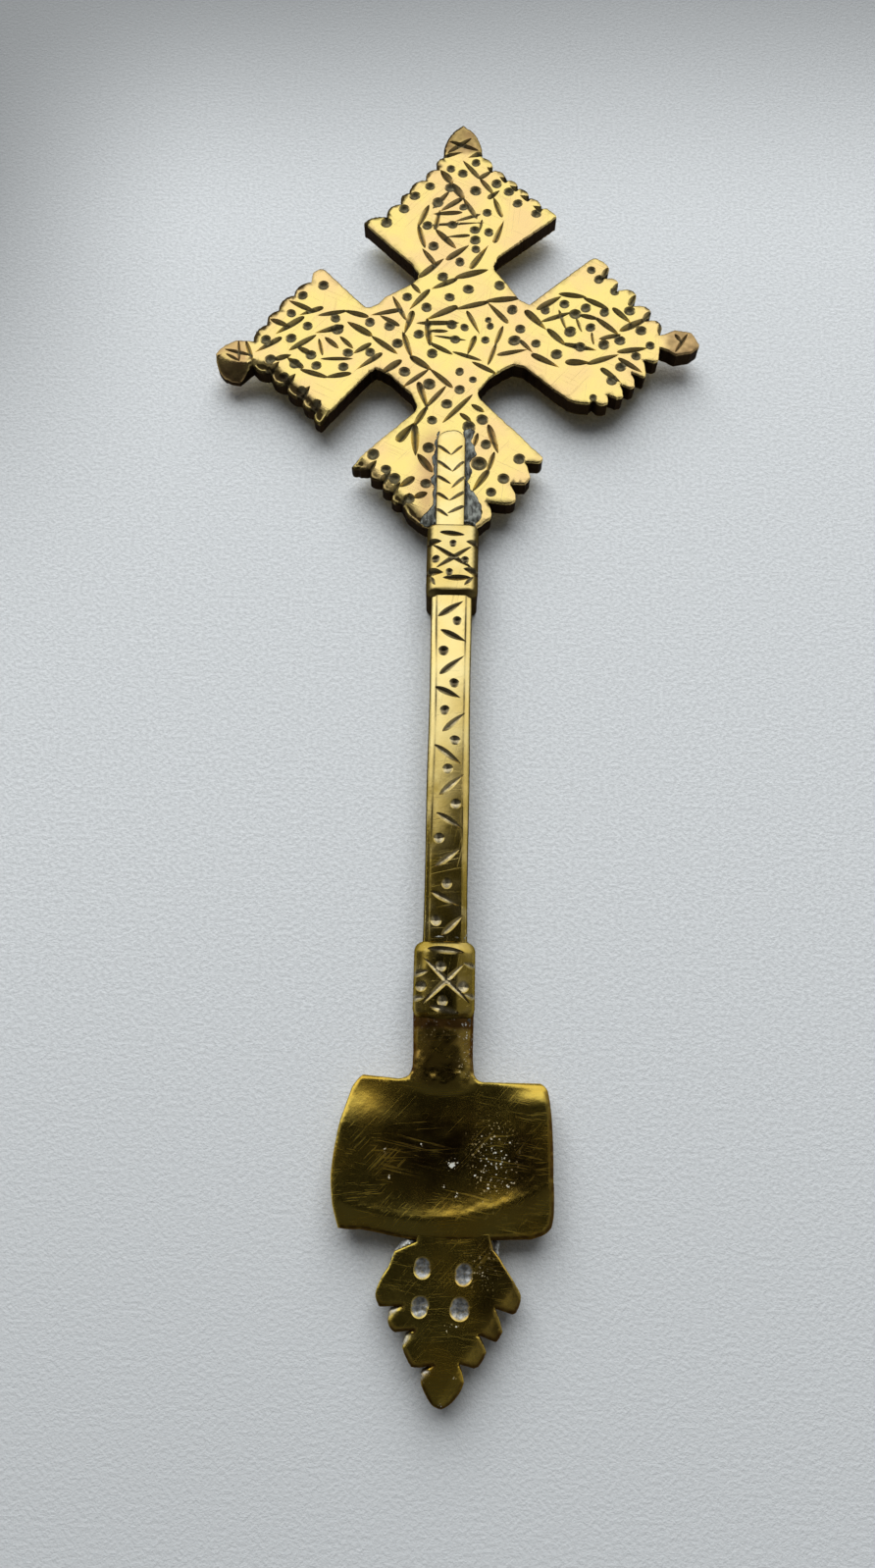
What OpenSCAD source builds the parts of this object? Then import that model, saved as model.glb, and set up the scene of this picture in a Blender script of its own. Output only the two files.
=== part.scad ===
// Ethiopian hand cross: a serrated brass cross gripped by a forked handle,
// with two collars, a dished plaque and a toothed leaf at the foot, all soft-soldered.
// The cross lies on its back: X across the arms, Y from the leaf up to the top finial,
// Z out of the front face. The origin is under the middle of the whole length.

/* [Cross head] */
// Thickness of the cross plate
head_thickness = 3.6; // [3:0.1:4.6]
// Distance from the upper collar up to the middle of the cross
head_rise = 41.5; // [38:0.5:47]
// How far the middle of the cross sits to the left of the handle
head_offset = 1.2; // [0:0.1:2]
// Distance from the middle of the cross to the neck of each arm
neck_reach = 14.1; // [12:0.2:17]
// Width of the neck of each arm
neck_width = 13.4; // [10:0.2:16]
// Radius of the round file cuts between the teeth
tooth_cut_radius = 0.75; // [0.4:0.05:1]

/* [Arms] */
// Distance from the middle of the cross to the root of the top finial
top_reach = 42.6; // [39:0.1:48]
// Shoulder on the left of the top arm, along the arm and across it
top_left_shoulder = [25.2, 17.5]; // [15:0.1:30]
// Shoulder on the right of the top arm, along the arm and across it
top_right_shoulder = [27.4, 20.8]; // [15:0.1:30]
// Distance from the middle of the cross to the root of the left finial
left_reach = 36.6; // [33:0.1:42]
// Upper shoulder of the left arm, along the arm and across it
left_upper_shoulder = [25, 15]; // [13:0.1:30]
// Lower shoulder of the left arm, along the arm and across it
left_lower_shoulder = [23.5, 21.4]; // [13:0.1:30]
// How far the left finial hangs below the middle of the cross
left_drop = 5; // [0:0.1:6]
// Distance from the middle of the cross to the root of the right finial
right_reach = 39; // [35:0.1:44]
// Upper shoulder of the right arm, along the arm and across it
right_upper_shoulder = [28.2, 17.6]; // [13:0.1:32]
// Lower shoulder of the right arm, along the arm and across it
right_lower_shoulder = [26.6, 15]; // [13:0.1:32]
// How far the right finial hangs below the middle of the cross
right_drop = 0.9; // [0:0.1:6]
// Shoulder on the left of the bottom arm, along the arm and across it
bottom_left_shoulder = [28.6, 17.4]; // [15:0.1:32]
// Shoulder on the right of the bottom arm, along the arm and across it
bottom_right_shoulder = [26.4, 17]; // [15:0.1:32]
// Width of the bottom arm where it stands on the upper collar
bottom_root_width = 9; // [8:0.2:11]
// Depth of the tang of the bottom arm inside the upper collar
tang_depth = 7; // [4:0.5:10]

/* [Teeth and finials] */
// Number of file cuts along each edge of the top arm
top_cuts = 5; // [3:1:7]
// Number of file cuts along each edge of the side arms
side_cuts = 4; // [3:1:6]
// Number of file cuts along each edge of the bottom arm
bottom_cuts = 4; // [2:1:5]
// Length of each finial
finial_length = 7.4; // [6:0.1:9]
// Width of each finial at its root
finial_width = 7.2; // [5.5:0.1:8]

/* [Handle] */
// Width and depth of the square handle bar
bar_size = 7; // [6.6:0.1:8]
// Chamfer along the four edges of the bar
bar_chamfer = 1.2; // [0.6:0.1:1.6]
// Bare length of the bar between the two collars
grip_length = 59.3; // [45:0.1:80]
// Width of the two tongues of the fork
tongue_width = 5; // [4:0.1:5.6]
// Length of the tongues above the upper collar
tongue_length = 19.8; // [14:0.1:23]

/* [Collars] */
// Wall of the upper collar at the sides of the bar
upper_collar_wall = 1; // [0.8:0.1:2]
// Length of the upper collar
upper_collar_length = 13.5; // [11.5:0.5:18]
// Wall of the lower collar at the sides of the bar
lower_collar_wall = 1.3; // [0.8:0.1:2.2]
// Length of the lower collar
lower_collar_length = 11.2; // [9:0.1:16]
// Wall of both collars in front of the bar and behind it
collar_face = 1; // [0.8:0.1:2]
// Bevel around the edges of the collars
collar_bevel = 0.5; // [0.2:0.1:0.6]

/* [Plaque] */
// Width of the plaque
plaque_width = 33.4; // [28:0.2:40]
// Height of the plaque
plaque_height = 23; // [18:0.5:28]
// How far the neck runs down over the plaque
neck_overlap = 1.5; // [0.8:0.1:4]
// Thickness of the plaque at its rim
plaque_thickness = 3.4; // [3:0.1:4.4]
// Depth of the dish in the front of the plaque
dish_depth = 1.2; // [0.4:0.1:1.4]
// Squareness of the plaque's outline, 2 for an ellipse
plaque_squareness = 5; // [3.5:0.1:8]
// How far the neck of the plaque is wider than its tenon, on each side
plaque_neck_side = 1; // [0.4:0.1:1.2]
// How far the neck of the plaque is deeper than its tenon, front and back
plaque_neck_face = 0.4; // [0.2:0.1:0.8]
// Cut along the four edges of the neck
plaque_neck_cut = 0.9; // [0.4:0.1:1.6]
// Length of the neck
plaque_neck_length = 9.5; // [6:0.5:14]

/* [Leaf] */
// Length of the leaf below the plaque
leaf_length = 22; // [18:0.5:28]
// Width of the leaf across its first teeth
leaf_width = 20.6; // [16:0.2:24]
// How far the leaf sits to the right of the handle
leaf_offset = 0.8; // [0:0.1:1.5]
// Width of the leaf where it joins the plaque
leaf_root_width = 11.4; // [9:0.2:14]
// Thickness of the leaf
leaf_thickness = 3; // [2.4:0.1:3.4]
// Number of teeth on each side of the leaf
leaf_teeth = 3; // [2:1:4]
// Depth of the notch under each tooth
leaf_notch = 3; // [1.5:0.1:3.6]
// Length of the pointed tip of the leaf
leaf_tip_length = 6; // [4:0.2:8]
// Width of the pointed tip of the leaf
leaf_tip_width = 5.8; // [4:0.1:7]
// Width of the tang that holds the leaf in the plaque
leaf_tang_width = 6; // [4:0.1:8]
// Depth of that tang inside the plaque
leaf_tang_depth = 3; // [1.5:0.1:4]
// Thickness of that tang
leaf_tang_thickness = 1.4; // [1:0.1:1.8]

/* [Solder] */
// Gap that the solder fills between two pieces
solder_gap = 0.1; // [0.05:0.01:0.2]
// Size of the solder fillets in the corners
solder_leg = 0.9; // [0.4:0.1:1]
// Thickness of the solder seam between neck and lower collar
neck_seam = 0.4; // [0.2:0.1:0.8]

/* [Hidden] */
$fn = 48;

brass = "#c9a24a";
dull_brass = "#8a6f2c";
solder_grey = "#8b8d88";

// Stations along the handle, from the leaf's tip up
overall_length = leaf_length + plaque_height + plaque_neck_length + lower_collar_length + grip_length
               + upper_collar_length + head_rise + top_reach + finial_length;
leaf_tip_y = -overall_length / 2;
plaque_bottom_y = leaf_tip_y + leaf_length;
plaque_middle_y = plaque_bottom_y + plaque_height / 2;
plaque_top_y = plaque_bottom_y + plaque_height;
lower_collar_y = plaque_top_y + plaque_neck_length;
grip_y = lower_collar_y + lower_collar_length;
upper_collar_y = grip_y + grip_length;
upper_collar_top_y = upper_collar_y + upper_collar_length;
head_y = upper_collar_top_y + head_rise;

// Outer sizes of the pieces that fit round the bar
upper_collar_width = bar_size + 2 * upper_collar_wall;
lower_collar_width = bar_size + 2 * lower_collar_wall;
collar_depth = bar_size + 2 * collar_face;
plaque_neck_width = bar_size + 2 * plaque_neck_side;
plaque_neck_depth = bar_size + 2 * plaque_neck_face;
// How high the solder climbs the end face of a collar
collar_climb = collar_face - collar_bevel;

// Levels, from the backs of the collars up
middle_z = collar_depth / 2;
head_back_z = middle_z - head_thickness / 2;
plaque_back_z = middle_z - plaque_thickness / 2;
plaque_front_z = middle_z + plaque_thickness / 2;
leaf_back_z = plaque_back_z;

// Half of the lower collar holds the bar, the other half the plaque's tenon
bar_bottom_y = lower_collar_y + lower_collar_length / 2;
fork_root_y = upper_collar_top_y - tang_depth;
tenon_top_y = bar_bottom_y - solder_gap;

// How far a cut runs past the face that it opens
overrun = 1;
// How far two shapes of one piece run into each other
merge = 0.5;
outline_steps = 72;
dish_steps = 180;

// Runs a section, drawn with width along X and depth along Y, from one station to another.
module along_handle(from_y, to_y) {
    translate([0, from_y, middle_z]) rotate([-90, 0, 0]) linear_extrude(height = to_y - from_y) children();
}

// A rectangle with its four corners cut off.
module cut_corner_section(width, depth, cut) {
    w = width / 2;
    d = depth / 2;
    polygon([[w - cut, -d], [w, -d + cut], [w, d - cut], [w - cut, d],
             [-w + cut, d], [-w, d - cut], [-w, -d + cut], [-w + cut, -d]]);
}

module bar_section(extra = 0) {
    cut_corner_section(bar_size + 2 * extra, bar_size + 2 * extra, bar_chamfer);
}

// One arm's outline in its own frame: points run from the right neck round to the left neck.
function arm_outline(reach, right, left, root_middle, root_width) = [
    [neck_reach, -neck_width / 2],
    [right[0], -right[1]],
    [reach, root_middle - root_width / 2],
    [reach, root_middle + root_width / 2],
    [left[0], left[1]],
    [neck_reach, neck_width / 2]];

// Turns an outline by whole quarter turns.
function quarter_turned(points, turns) = [for (p = points)
    [p[0] * cos(90 * turns) - p[1] * sin(90 * turns), p[0] * sin(90 * turns) + p[1] * cos(90 * turns)]];

right_arm = arm_outline(right_reach, right_lower_shoulder, right_upper_shoulder, -right_drop, finial_width);
top_arm = arm_outline(top_reach, top_right_shoulder, top_left_shoulder, -head_offset, finial_width);
left_arm = arm_outline(left_reach, left_upper_shoulder, left_lower_shoulder, left_drop, finial_width);
bottom_arm = arm_outline(head_rise, bottom_left_shoulder, bottom_right_shoulder, head_offset,
                         bottom_root_width);
head_outline = concat(right_arm, quarter_turned(top_arm, 1), quarter_turned(left_arm, 2),
                      quarter_turned(bottom_arm, 3));

// Round file cuts along one serrated edge, evenly spaced and clear of its two ends.
module edge_cuts(start, end, count) {
    for (i = [1 : count]) {
        share = i / (count + 0.5);
        p = start + (end - start) * share;
        translate([p[0], p[1], -overrun]) cylinder(r = tooth_cut_radius, h = head_thickness + 2 * overrun);
    }
}

module arm_cuts(arm, count) {
    edge_cuts(arm[1], arm[2], count);
    edge_cuts(arm[4], arm[3], count);
}

// A pointed bud standing on the line X = 0 and pointing along +X.
module finial() {
    bud_radius = (pow(finial_length, 2) + pow(finial_width / 2, 2)) / finial_width;
    centre_out = bud_radius - finial_width / 2;
    intersection() {
        translate([0, -centre_out, 0]) cylinder(r = bud_radius, h = head_thickness);
        translate([0, centre_out, 0]) cylinder(r = bud_radius, h = head_thickness);
        translate([-merge, -finial_width, 0])
            cube([finial_length + 2 * merge, 2 * finial_width, head_thickness]);
    }
}

module cross_head() {
    color(brass) translate([-head_offset, head_y, head_back_z]) {
        difference() {
            linear_extrude(height = head_thickness) polygon(head_outline);
            arm_cuts(right_arm, side_cuts);
            rotate([0, 0, 90]) arm_cuts(top_arm, top_cuts);
            rotate([0, 0, 180]) arm_cuts(left_arm, side_cuts);
            rotate([0, 0, 270]) arm_cuts(bottom_arm, bottom_cuts);
        }
        translate([right_reach, -right_drop, 0]) finial();
        translate([head_offset, top_reach, 0]) rotate([0, 0, 90]) finial();
        translate([-left_reach, -left_drop, 0]) rotate([0, 0, 180]) finial();
        // Tang between the fork's tongues, inside the upper collar
        translate([head_offset - tongue_width / 2, -head_rise - tang_depth + solder_gap, 0])
            cube([tongue_width, tang_depth, head_thickness]);
    }
}

// The bar, whose upper end is sawn into a fork: a tongue on each face of the cross.
module handle_bar() {
    straight_length = tongue_length - tongue_width / 2;
    color(brass) difference() {
        union() {
            along_handle(bar_bottom_y, upper_collar_top_y) bar_section();
            translate([-tongue_width / 2, upper_collar_top_y - merge, middle_z - bar_size / 2])
                cube([tongue_width, straight_length + merge, bar_size]);
            translate([0, upper_collar_top_y + straight_length, middle_z - bar_size / 2])
                cylinder(d = tongue_width, h = bar_size);
        }
        translate([-bar_size, fork_root_y, head_back_z - solder_gap])
            cube([2 * bar_size, tang_depth + tongue_length + overrun, head_thickness + 2 * solder_gap]);
    }
}

// A collar: a bevelled block with the bar's hole through it.
module collar(width, length, from_y) {
    w = width / 2;
    d = collar_depth / 2;
    b = collar_bevel;
    difference() {
        intersection() {
            along_handle(from_y, from_y + length) cut_corner_section(width, collar_depth, b);
            // Seen from the front, with its ends bevelled at the sides
            translate([0, from_y, 0]) linear_extrude(height = collar_depth)
                polygon([[-w + b, 0], [w - b, 0], [w, b], [w, length - b],
                         [w - b, length], [-w + b, length], [-w, length - b], [-w, b]]);
            // Seen from the side, with its front end edges bevelled and its back flat
            translate([-w, from_y, middle_z]) rotate([90, 0, 90]) linear_extrude(height = width)
                polygon([[0, -d], [length, -d], [length, d - b], [length - b, d], [b, d], [0, d - b]]);
        }
        along_handle(from_y - overrun, from_y + length + overrun) bar_section(solder_gap);
    }
}

module upper_collar() {
    color(brass) collar(upper_collar_width, upper_collar_length, upper_collar_y);
}

module lower_collar() {
    color(brass) collar(lower_collar_width, lower_collar_length, lower_collar_y);
}

// A superellipse: straight-sided with round corners, its sides bowed a little.
function rounded_box_outline(width, height, squareness) = [for (i = [0 : outline_steps - 1])
    let (c = cos(360 * i / outline_steps), s = sin(360 * i / outline_steps))
    [width / 2 * sign(c) * pow(abs(c), 2 / squareness), height / 2 * sign(s) * pow(abs(s), 2 / squareness)]];

module base_plaque() {
    dish_reach = plaque_width / 2 - merge;
    dish_radius = (pow(dish_reach, 2) + pow(dish_depth, 2)) / (2 * dish_depth);
    neck_top_y = lower_collar_y - neck_seam;
    color(dull_brass) difference() {
        union() {
            difference() {
                translate([0, plaque_middle_y, plaque_back_z]) linear_extrude(height = plaque_thickness)
                    polygon(rounded_box_outline(plaque_width, plaque_height, plaque_squareness));
                translate([0, plaque_middle_y, plaque_front_z + dish_radius - dish_depth])
                    sphere(r = dish_radius, $fn = dish_steps);
            }
            along_handle(plaque_top_y - neck_overlap, neck_top_y)
                cut_corner_section(plaque_neck_width, plaque_neck_depth, plaque_neck_cut);
            // Tenon inside the lower collar
            along_handle(neck_top_y - merge, tenon_top_y) bar_section();
        }
        // Mortise for the leaf's tang
        translate([leaf_offset - leaf_tang_width / 2 - solder_gap, plaque_bottom_y - overrun,
                   leaf_tang_z - solder_gap])
            cube([leaf_tang_width + 2 * solder_gap, leaf_tang_depth + solder_gap + overrun,
                  leaf_tang_thickness + 2 * solder_gap]);
    }
}

// One side of the leaf from its root to its tip: each tooth slopes out, drops and is cut back in.
leaf_top_y = -solder_gap;
leaf_tang_z = leaf_back_z + (plaque_thickness - dish_depth - leaf_tang_thickness) / 2;
leaf_tip_top = leaf_tip_length - leaf_length;
first_tooth_share = 0.5;
leaf_tooth_drop = -leaf_tip_top * (1 - first_tooth_share) / (leaf_teeth - 1);
leaf_tooth_step = (leaf_width - leaf_tip_width - leaf_notch) / 2 / leaf_teeth;
tooth_lip = 1.2;
function leaf_tooth_x(i) = leaf_width / 2 - i * leaf_tooth_step;
function leaf_tooth_y(i) = leaf_tip_top * first_tooth_share - i * leaf_tooth_drop;
leaf_side = concat(
    [[leaf_root_width / 2, leaf_top_y]],
    [for (i = [0 : leaf_teeth - 1]) each [
        [leaf_tooth_x(i), leaf_tooth_y(i) + tooth_lip],
        [leaf_tooth_x(i) - tooth_lip / 2, leaf_tooth_y(i)],
        [leaf_tooth_x(i) - leaf_notch, leaf_tooth_y(i)]]],
    [[leaf_tip_width / 2, leaf_tip_top - leaf_tip_length * 0.4], [0, -leaf_length]]);
// Direction of the leaf's edge from its root to its first tooth
leaf_edge = (leaf_side[1] - leaf_side[0]) / norm(leaf_side[1] - leaf_side[0]);
leaf_other_side = [for (i = [len(leaf_side) - 2 : -1 : 0]) [-leaf_side[i][0], leaf_side[i][1]]];

module base_leaf() {
    color(dull_brass) translate([leaf_offset, plaque_bottom_y, 0]) {
        translate([0, 0, leaf_back_z]) linear_extrude(height = leaf_thickness)
            polygon(concat(leaf_side, leaf_other_side));
        translate([-leaf_tang_width / 2, -merge, leaf_tang_z])
            cube([leaf_tang_width, leaf_tang_depth + merge, leaf_tang_thickness]);
    }
}

// A fillet of solder: a right-angled wedge of the given length along +X, its square corner at the origin,
// spreading along +Y and rising along +Z.
module solder_fillet(length, spread, rise) {
    rotate([90, 0, 90]) linear_extrude(height = length) polygon([[0, 0], [spread, 0], [0, rise]]);
}

// Fillets along both sides of both tongues, where they lie on the cross.
module head_solder() {
    run = tongue_length - tongue_width / 2;
    color(solder_grey) for (face = [0, 1], hand = [0, 1])
        translate([0, upper_collar_top_y + solder_gap, middle_z]) mirror([0, 0, face]) mirror([hand, 0, 0])
            translate([tongue_width / 2, run, head_thickness / 2]) rotate([0, 0, -90])
                solder_fillet(run, solder_leg, solder_leg);
}

// Fillets across both tongues where they leave the upper collar, and round the bar below it.
module upper_collar_solder() {
    flat = bar_size - 2 * bar_chamfer;
    color(solder_grey) for (face = [0, 1])
        translate([0, 0, middle_z]) mirror([0, 0, face]) {
            translate([-tongue_width / 2, upper_collar_top_y, bar_size / 2])
                solder_fillet(tongue_width, solder_leg, collar_climb);
            translate([flat / 2, upper_collar_y, bar_size / 2]) rotate([0, 0, 180])
                solder_fillet(flat, solder_leg, collar_climb);
        }
}

// Fillets on the four flats of the bar where it enters the lower collar.
module lower_collar_solder() {
    flat = bar_size - 2 * bar_chamfer;
    color(solder_grey) for (turn = [0, 90, 180, 270])
        translate([0, grip_y, middle_z]) rotate([0, turn, 0])
            translate([-flat / 2, 0, bar_size / 2]) solder_fillet(flat, solder_leg, collar_climb);
}

// Thin seam between the neck of the plaque and the lower collar, just proud of the neck.
module neck_solder() {
    proud = solder_gap;
    color(solder_grey) difference() {
        along_handle(lower_collar_y - neck_seam, lower_collar_y)
            cut_corner_section(plaque_neck_width + 2 * proud, plaque_neck_depth + 2 * proud, plaque_neck_cut);
        along_handle(lower_collar_y - overrun, lower_collar_y + overrun) bar_section();
    }
}

// Fillets on the front of the leaf, in the two corners where it meets the plaque.
module leaf_solder() {
    color(solder_grey) translate([leaf_offset, plaque_bottom_y + leaf_top_y, leaf_back_z])
        for (hand = [0, 1]) mirror([hand, 0, 0]) translate([leaf_root_width / 2, 0, 0])
            linear_extrude(height = leaf_thickness)
                polygon([[0, 0], leaf_edge * solder_leg, [solder_leg, 0]]);
}

cross_head();
handle_bar();
upper_collar();
lower_collar();
base_plaque();
base_leaf();
head_solder();
upper_collar_solder();
lower_collar_solder();
neck_solder();
leaf_solder();
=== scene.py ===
"""Looks of an engraved brass hand cross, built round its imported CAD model.

Lengths are millimetres until a mesh is written, and meshes are metres. Every outline and every
mark on the metal is given where the eye sees it on the plane of the cross's face. The Viewpoint
carries it along the line of sight to the height of the piece that it lies on.
"""

import logging
import math
from dataclasses import dataclass, field
from enum import Enum
from functools import cached_property, reduce
from typing import Callable, Union

import bpy
import numpy as np
from mathutils import Matrix, Vector
from mathutils.geometry import delaunay_2d_cdt


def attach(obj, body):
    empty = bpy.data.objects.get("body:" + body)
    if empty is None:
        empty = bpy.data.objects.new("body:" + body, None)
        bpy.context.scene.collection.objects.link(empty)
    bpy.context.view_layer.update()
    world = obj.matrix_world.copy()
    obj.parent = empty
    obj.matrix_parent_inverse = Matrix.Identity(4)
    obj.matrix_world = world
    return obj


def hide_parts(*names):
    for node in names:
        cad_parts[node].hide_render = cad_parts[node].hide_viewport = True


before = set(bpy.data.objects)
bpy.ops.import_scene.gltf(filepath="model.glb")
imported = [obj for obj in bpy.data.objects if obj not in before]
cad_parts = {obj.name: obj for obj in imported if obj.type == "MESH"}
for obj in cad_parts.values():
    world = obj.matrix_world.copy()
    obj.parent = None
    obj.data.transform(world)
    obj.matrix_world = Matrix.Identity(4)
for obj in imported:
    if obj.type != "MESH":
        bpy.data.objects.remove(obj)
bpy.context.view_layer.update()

LOG = logging.getLogger("hand_cross")
MM = 0.001
BATCH = 1500
NEARLY_ZERO = 1e-12
SLIVER_AREA = 4e-5
MERGE_DISTANCE = 1e-7

Array = np.ndarray
Height = Callable[[Array], Array]
Pair = tuple[float, float]
Triple = tuple[float, float, float]
Colour = Triple
Rows = tuple[tuple[float, ...], ...]
Output = bpy.types.NodeSocket
Socket = Union[Output, float, tuple]
Piece = bpy.types.Object


class WearAndShade(Enum):
    """Kinds of wear and of painted shade that a mesh carries as one value per vertex, for the finishes to
    read.
    """

    CUT = "cut"
    # Painted shade along outlines, creases, bevels and marks.
    RIM_SHADE = "rim"
    # Dark tarnish on the walls, with painted shade.
    WALL = "wall"
    # Heat tint and solder flux, and painted shade that darkens whole areas.
    STAIN_AND_SHADE = "stain_and_shade"
    RESIDUE = "residue"


class Slot(Enum):
    """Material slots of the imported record."""

    HEAD = "head_brass"
    HANDLE = "handle_brass"
    BASE = "base_brass"
    SOLDER = "solder"


# Numbers over whole arrays

def ramp(value: Array, low: float, high: float) -> Array:
    """Gives 0 below low, 1 above high and a smooth step between."""
    share = np.clip((value - low) / (high - low), 0.0, 1.0)
    return share * share * (3.0 - 2.0 * share)


def ripple(points: Array, wavelength: float, seed: int, waves: int = 7) -> Array:
    """Gives a smooth irregular ripple: a sum of sines in random directions, near one length.

    Args:
        points: Places on the plane, one row each.
        wavelength: Usual length of a wave, in the points' own unit.
        seed: Start of the random draws.
        waves: How many sines are added.

    Returns:
        One value for each point, mostly between -1 and 1.
    """
    draw = np.random.default_rng(seed)
    turn = draw.uniform(0.0, math.tau, waves)
    pitch = math.tau / (wavelength * draw.uniform(0.7, 1.5, waves))
    shift = draw.uniform(0.0, math.tau, waves)
    phase = points[:, :1] * (np.cos(turn) * pitch) + points[:, 1:2] * (np.sin(turn) * pitch)
    return np.sin(phase + shift).sum(1) / math.sqrt(waves)


def past_line(points: Array, start: Pair, end: Pair) -> Array:
    """Gives how far points lie to the right of the line from start to end, and 0 on its left."""
    run = np.subtract(end, start)
    right = np.array([run[1], -run[0]]) / np.hypot(*run)
    return np.maximum(0.0, (points - start) @ right)


def edge_distance(points: Array, ring: Array) -> tuple[Array, Array]:
    """Gives the shortest distance from each point to a closed outline.

    Args:
        points: Places on the plane.
        ring: Corners of the outline, in order.

    Returns:
        One distance for each point, and the corner that starts the nearest edge.
    """
    run = np.roll(ring, -1, 0) - ring
    size = np.maximum((run ** 2).sum(1), NEARLY_ZERO)
    nearest, corner = np.empty(len(points)), np.empty(len(points), int)
    for first in range(0, len(points), BATCH):
        some = slice(first, first + BATCH)
        away = points[some, None, :] - ring[None]
        share = np.clip((away * run).sum(2) / size, 0.0, 1.0)
        gap = ((away - share[:, :, None] * run) ** 2).sum(2)
        corner[some] = gap.argmin(1)
        nearest[some] = np.sqrt(gap.min(1))
    return nearest, corner


def inside(points: Array, ring: Array) -> Array:
    """Tells which points lie in a closed outline: a ray to the right crosses it an odd number of times."""
    after = np.roll(ring, -1, 0)
    rise = np.where(after[:, 1] == ring[:, 1], NEARLY_ZERO, after[:, 1] - ring[:, 1])
    odd = np.empty(len(points), bool)
    for first in range(0, len(points), BATCH):
        some = slice(first, first + BATCH)
        x, y = points[some, :1], points[some, 1:]
        spans = (ring[:, 1] > y) != (after[:, 1] > y)
        cross = ring[:, 0] + (y - ring[:, 1]) / rise * (after[:, 0] - ring[:, 0])
        odd[some] = (spans & (cross > x)).sum(1) % 2 == 1
    return odd


def outward(ring: Array) -> Array:
    """Gives the outward unit vector at each corner of a closed outline that runs anticlockwise."""
    run = np.roll(ring, -1, 0) - np.roll(ring, 1, 0)
    size = np.maximum(np.hypot(run[:, 0], run[:, 1]), 1e-9)
    return np.stack([run[:, 1], -run[:, 0]], 1) / size[:, None]


def facing(ring: Array, direction: Pair, low: float) -> Array:
    """Gives 1 where a closed outline faces a direction, falling to low where it faces away from it."""
    turned = outward(ring) @ np.array(direction) / np.hypot(*direction)
    return low + (1.0 - low) * ramp(turned, -0.3, 0.6)


def crease(over: Array, soft: float = 0.15) -> Array:
    """Gives a length past a crease, 0 before it, with the crease itself rounded as a hyperbola."""
    return 0.5 * (over + np.sqrt(over * over + soft * soft))


def level(height: float) -> Height:
    """Gives a flat surface at one height."""
    return lambda points: np.full(len(points), height)


def spot(points: Array, middle: Pair, reach: Pair) -> Array:
    """Gives 1 at a middle, falling off as a bell with one reach across and one along."""
    across, along = ((points - middle) / reach).T
    return np.exp(-across ** 2 - along ** 2)


def crumbs_on(points: Array, rows: Union[Rows, Array]) -> Array:
    """Gives how thick crumbs lie, from rows of x, y and radius: whole in the middle, thinner outside."""
    thick = np.zeros(len(points))
    for x, y, radius in rows:
        away = np.hypot(points[:, 0] - x, points[:, 1] - y) / radius
        thick = np.maximum(thick, 1.8 * (1.0 - ramp(away, 0.3, 1.8)))
    return thick


def triangulate(points: Array, ring: int) -> Array:
    """Joins points into Delaunay triangles inside the closed outline that the first of them make.

    Args:
        points: Places on the plane, the outline's corners first.
        ring: How many of the points are corners of the outline.

    Returns:
        Three indices for each triangle, anticlockwise, without slivers along straight edges.
    """
    rim = [(i, (i + 1) % ring) for i in range(ring)]
    found = delaunay_2d_cdt([Vector(p) for p in points.tolist()], rim, [], 0, MERGE_DISTANCE)
    if len(found[0]) != len(points):
        raise ValueError(f"the outline crosses itself: {len(found[0]) - len(points)} new points")
    faces = np.array(found[2])
    faces = faces[inside(points[faces].mean(1), points[:ring])]
    a, b, c = points[faces[:, 0]], points[faces[:, 1]], points[faces[:, 2]]
    area = np.cross(b - a, c - a)
    faces[area < 0] = faces[area < 0][:, ::-1]
    sliver = (faces < ring).all(1) & (np.abs(area) < SLIVER_AREA)
    return faces[~sliver]


# The eye

@dataclass(frozen=True)
class Viewpoint:
    """Where the camera stands over the cross, and how it is turned."""

    eye: Triple = (-0.44, -82.47, 188.79)
    forward: Triple = (-0.00664, 0.30894, -0.95106)
    right: Triple = (0.99977, 0.02150, 0.0)
    up: Triple = (-0.02045, 0.95084, 0.30902)
    face_height: float = 6.3
    axis_shift: float = 0.4
    lens: float = 27.03
    sensor: float = 36.0

    def place(self, points: Array, height: float) -> Array:
        """Carries points seen on the face plane along the line of sight to another height.

        A point moves towards the foot of the eye by the share of the eye's height that it gains.

        Args:
            points: Places seen on the plane of the face, one row each.
            height: Height of the surface that they lie on.

        Returns:
            Their places on that surface, in the frame of the CAD model.
        """
        foot = np.array(self.eye[:2])
        share = (self.eye[2] - height) / (self.eye[2] - self.face_height)
        return foot + (points + [self.axis_shift, 0.0] - foot) * share

    def camera(self) -> None:
        """Makes the camera and gives it to the scene."""
        data = bpy.data.cameras.new("camera")
        data.lens, data.sensor_width, data.clip_start = self.lens, self.sensor, 0.005
        made = bpy.data.objects.new("camera", data)
        back = [-v for v in self.forward]
        columns = Matrix((self.right, self.up, back)).transposed().to_4x4()
        made.matrix_world = Matrix.Translation(Vector(self.eye) * MM) @ columns
        bpy.context.scene.collection.objects.link(made)
        bpy.context.scene.camera = made


VIEW = Viewpoint()


# Outlines, engraving and relief

def walk(corners: Array, spacing: float) -> tuple[Array, Array]:
    """Divides each edge of an outline into equal steps.

    Args:
        corners: Rows of x, y and more, in order.
        spacing: Wanted length of a step.

    Returns:
        For each point, the corner that starts its edge, and the share of the edge that lies before it.
    """
    run = np.roll(corners, -1, 0)[:, :2] - corners[:, :2]
    count = np.maximum(1, np.round(np.hypot(run[:, 0], run[:, 1]) / spacing)).astype(int)
    edge = np.repeat(np.arange(len(corners)), count)
    return edge, (np.arange(count.sum()) - np.repeat(np.cumsum(count) - count, count)) / count[edge]


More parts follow.
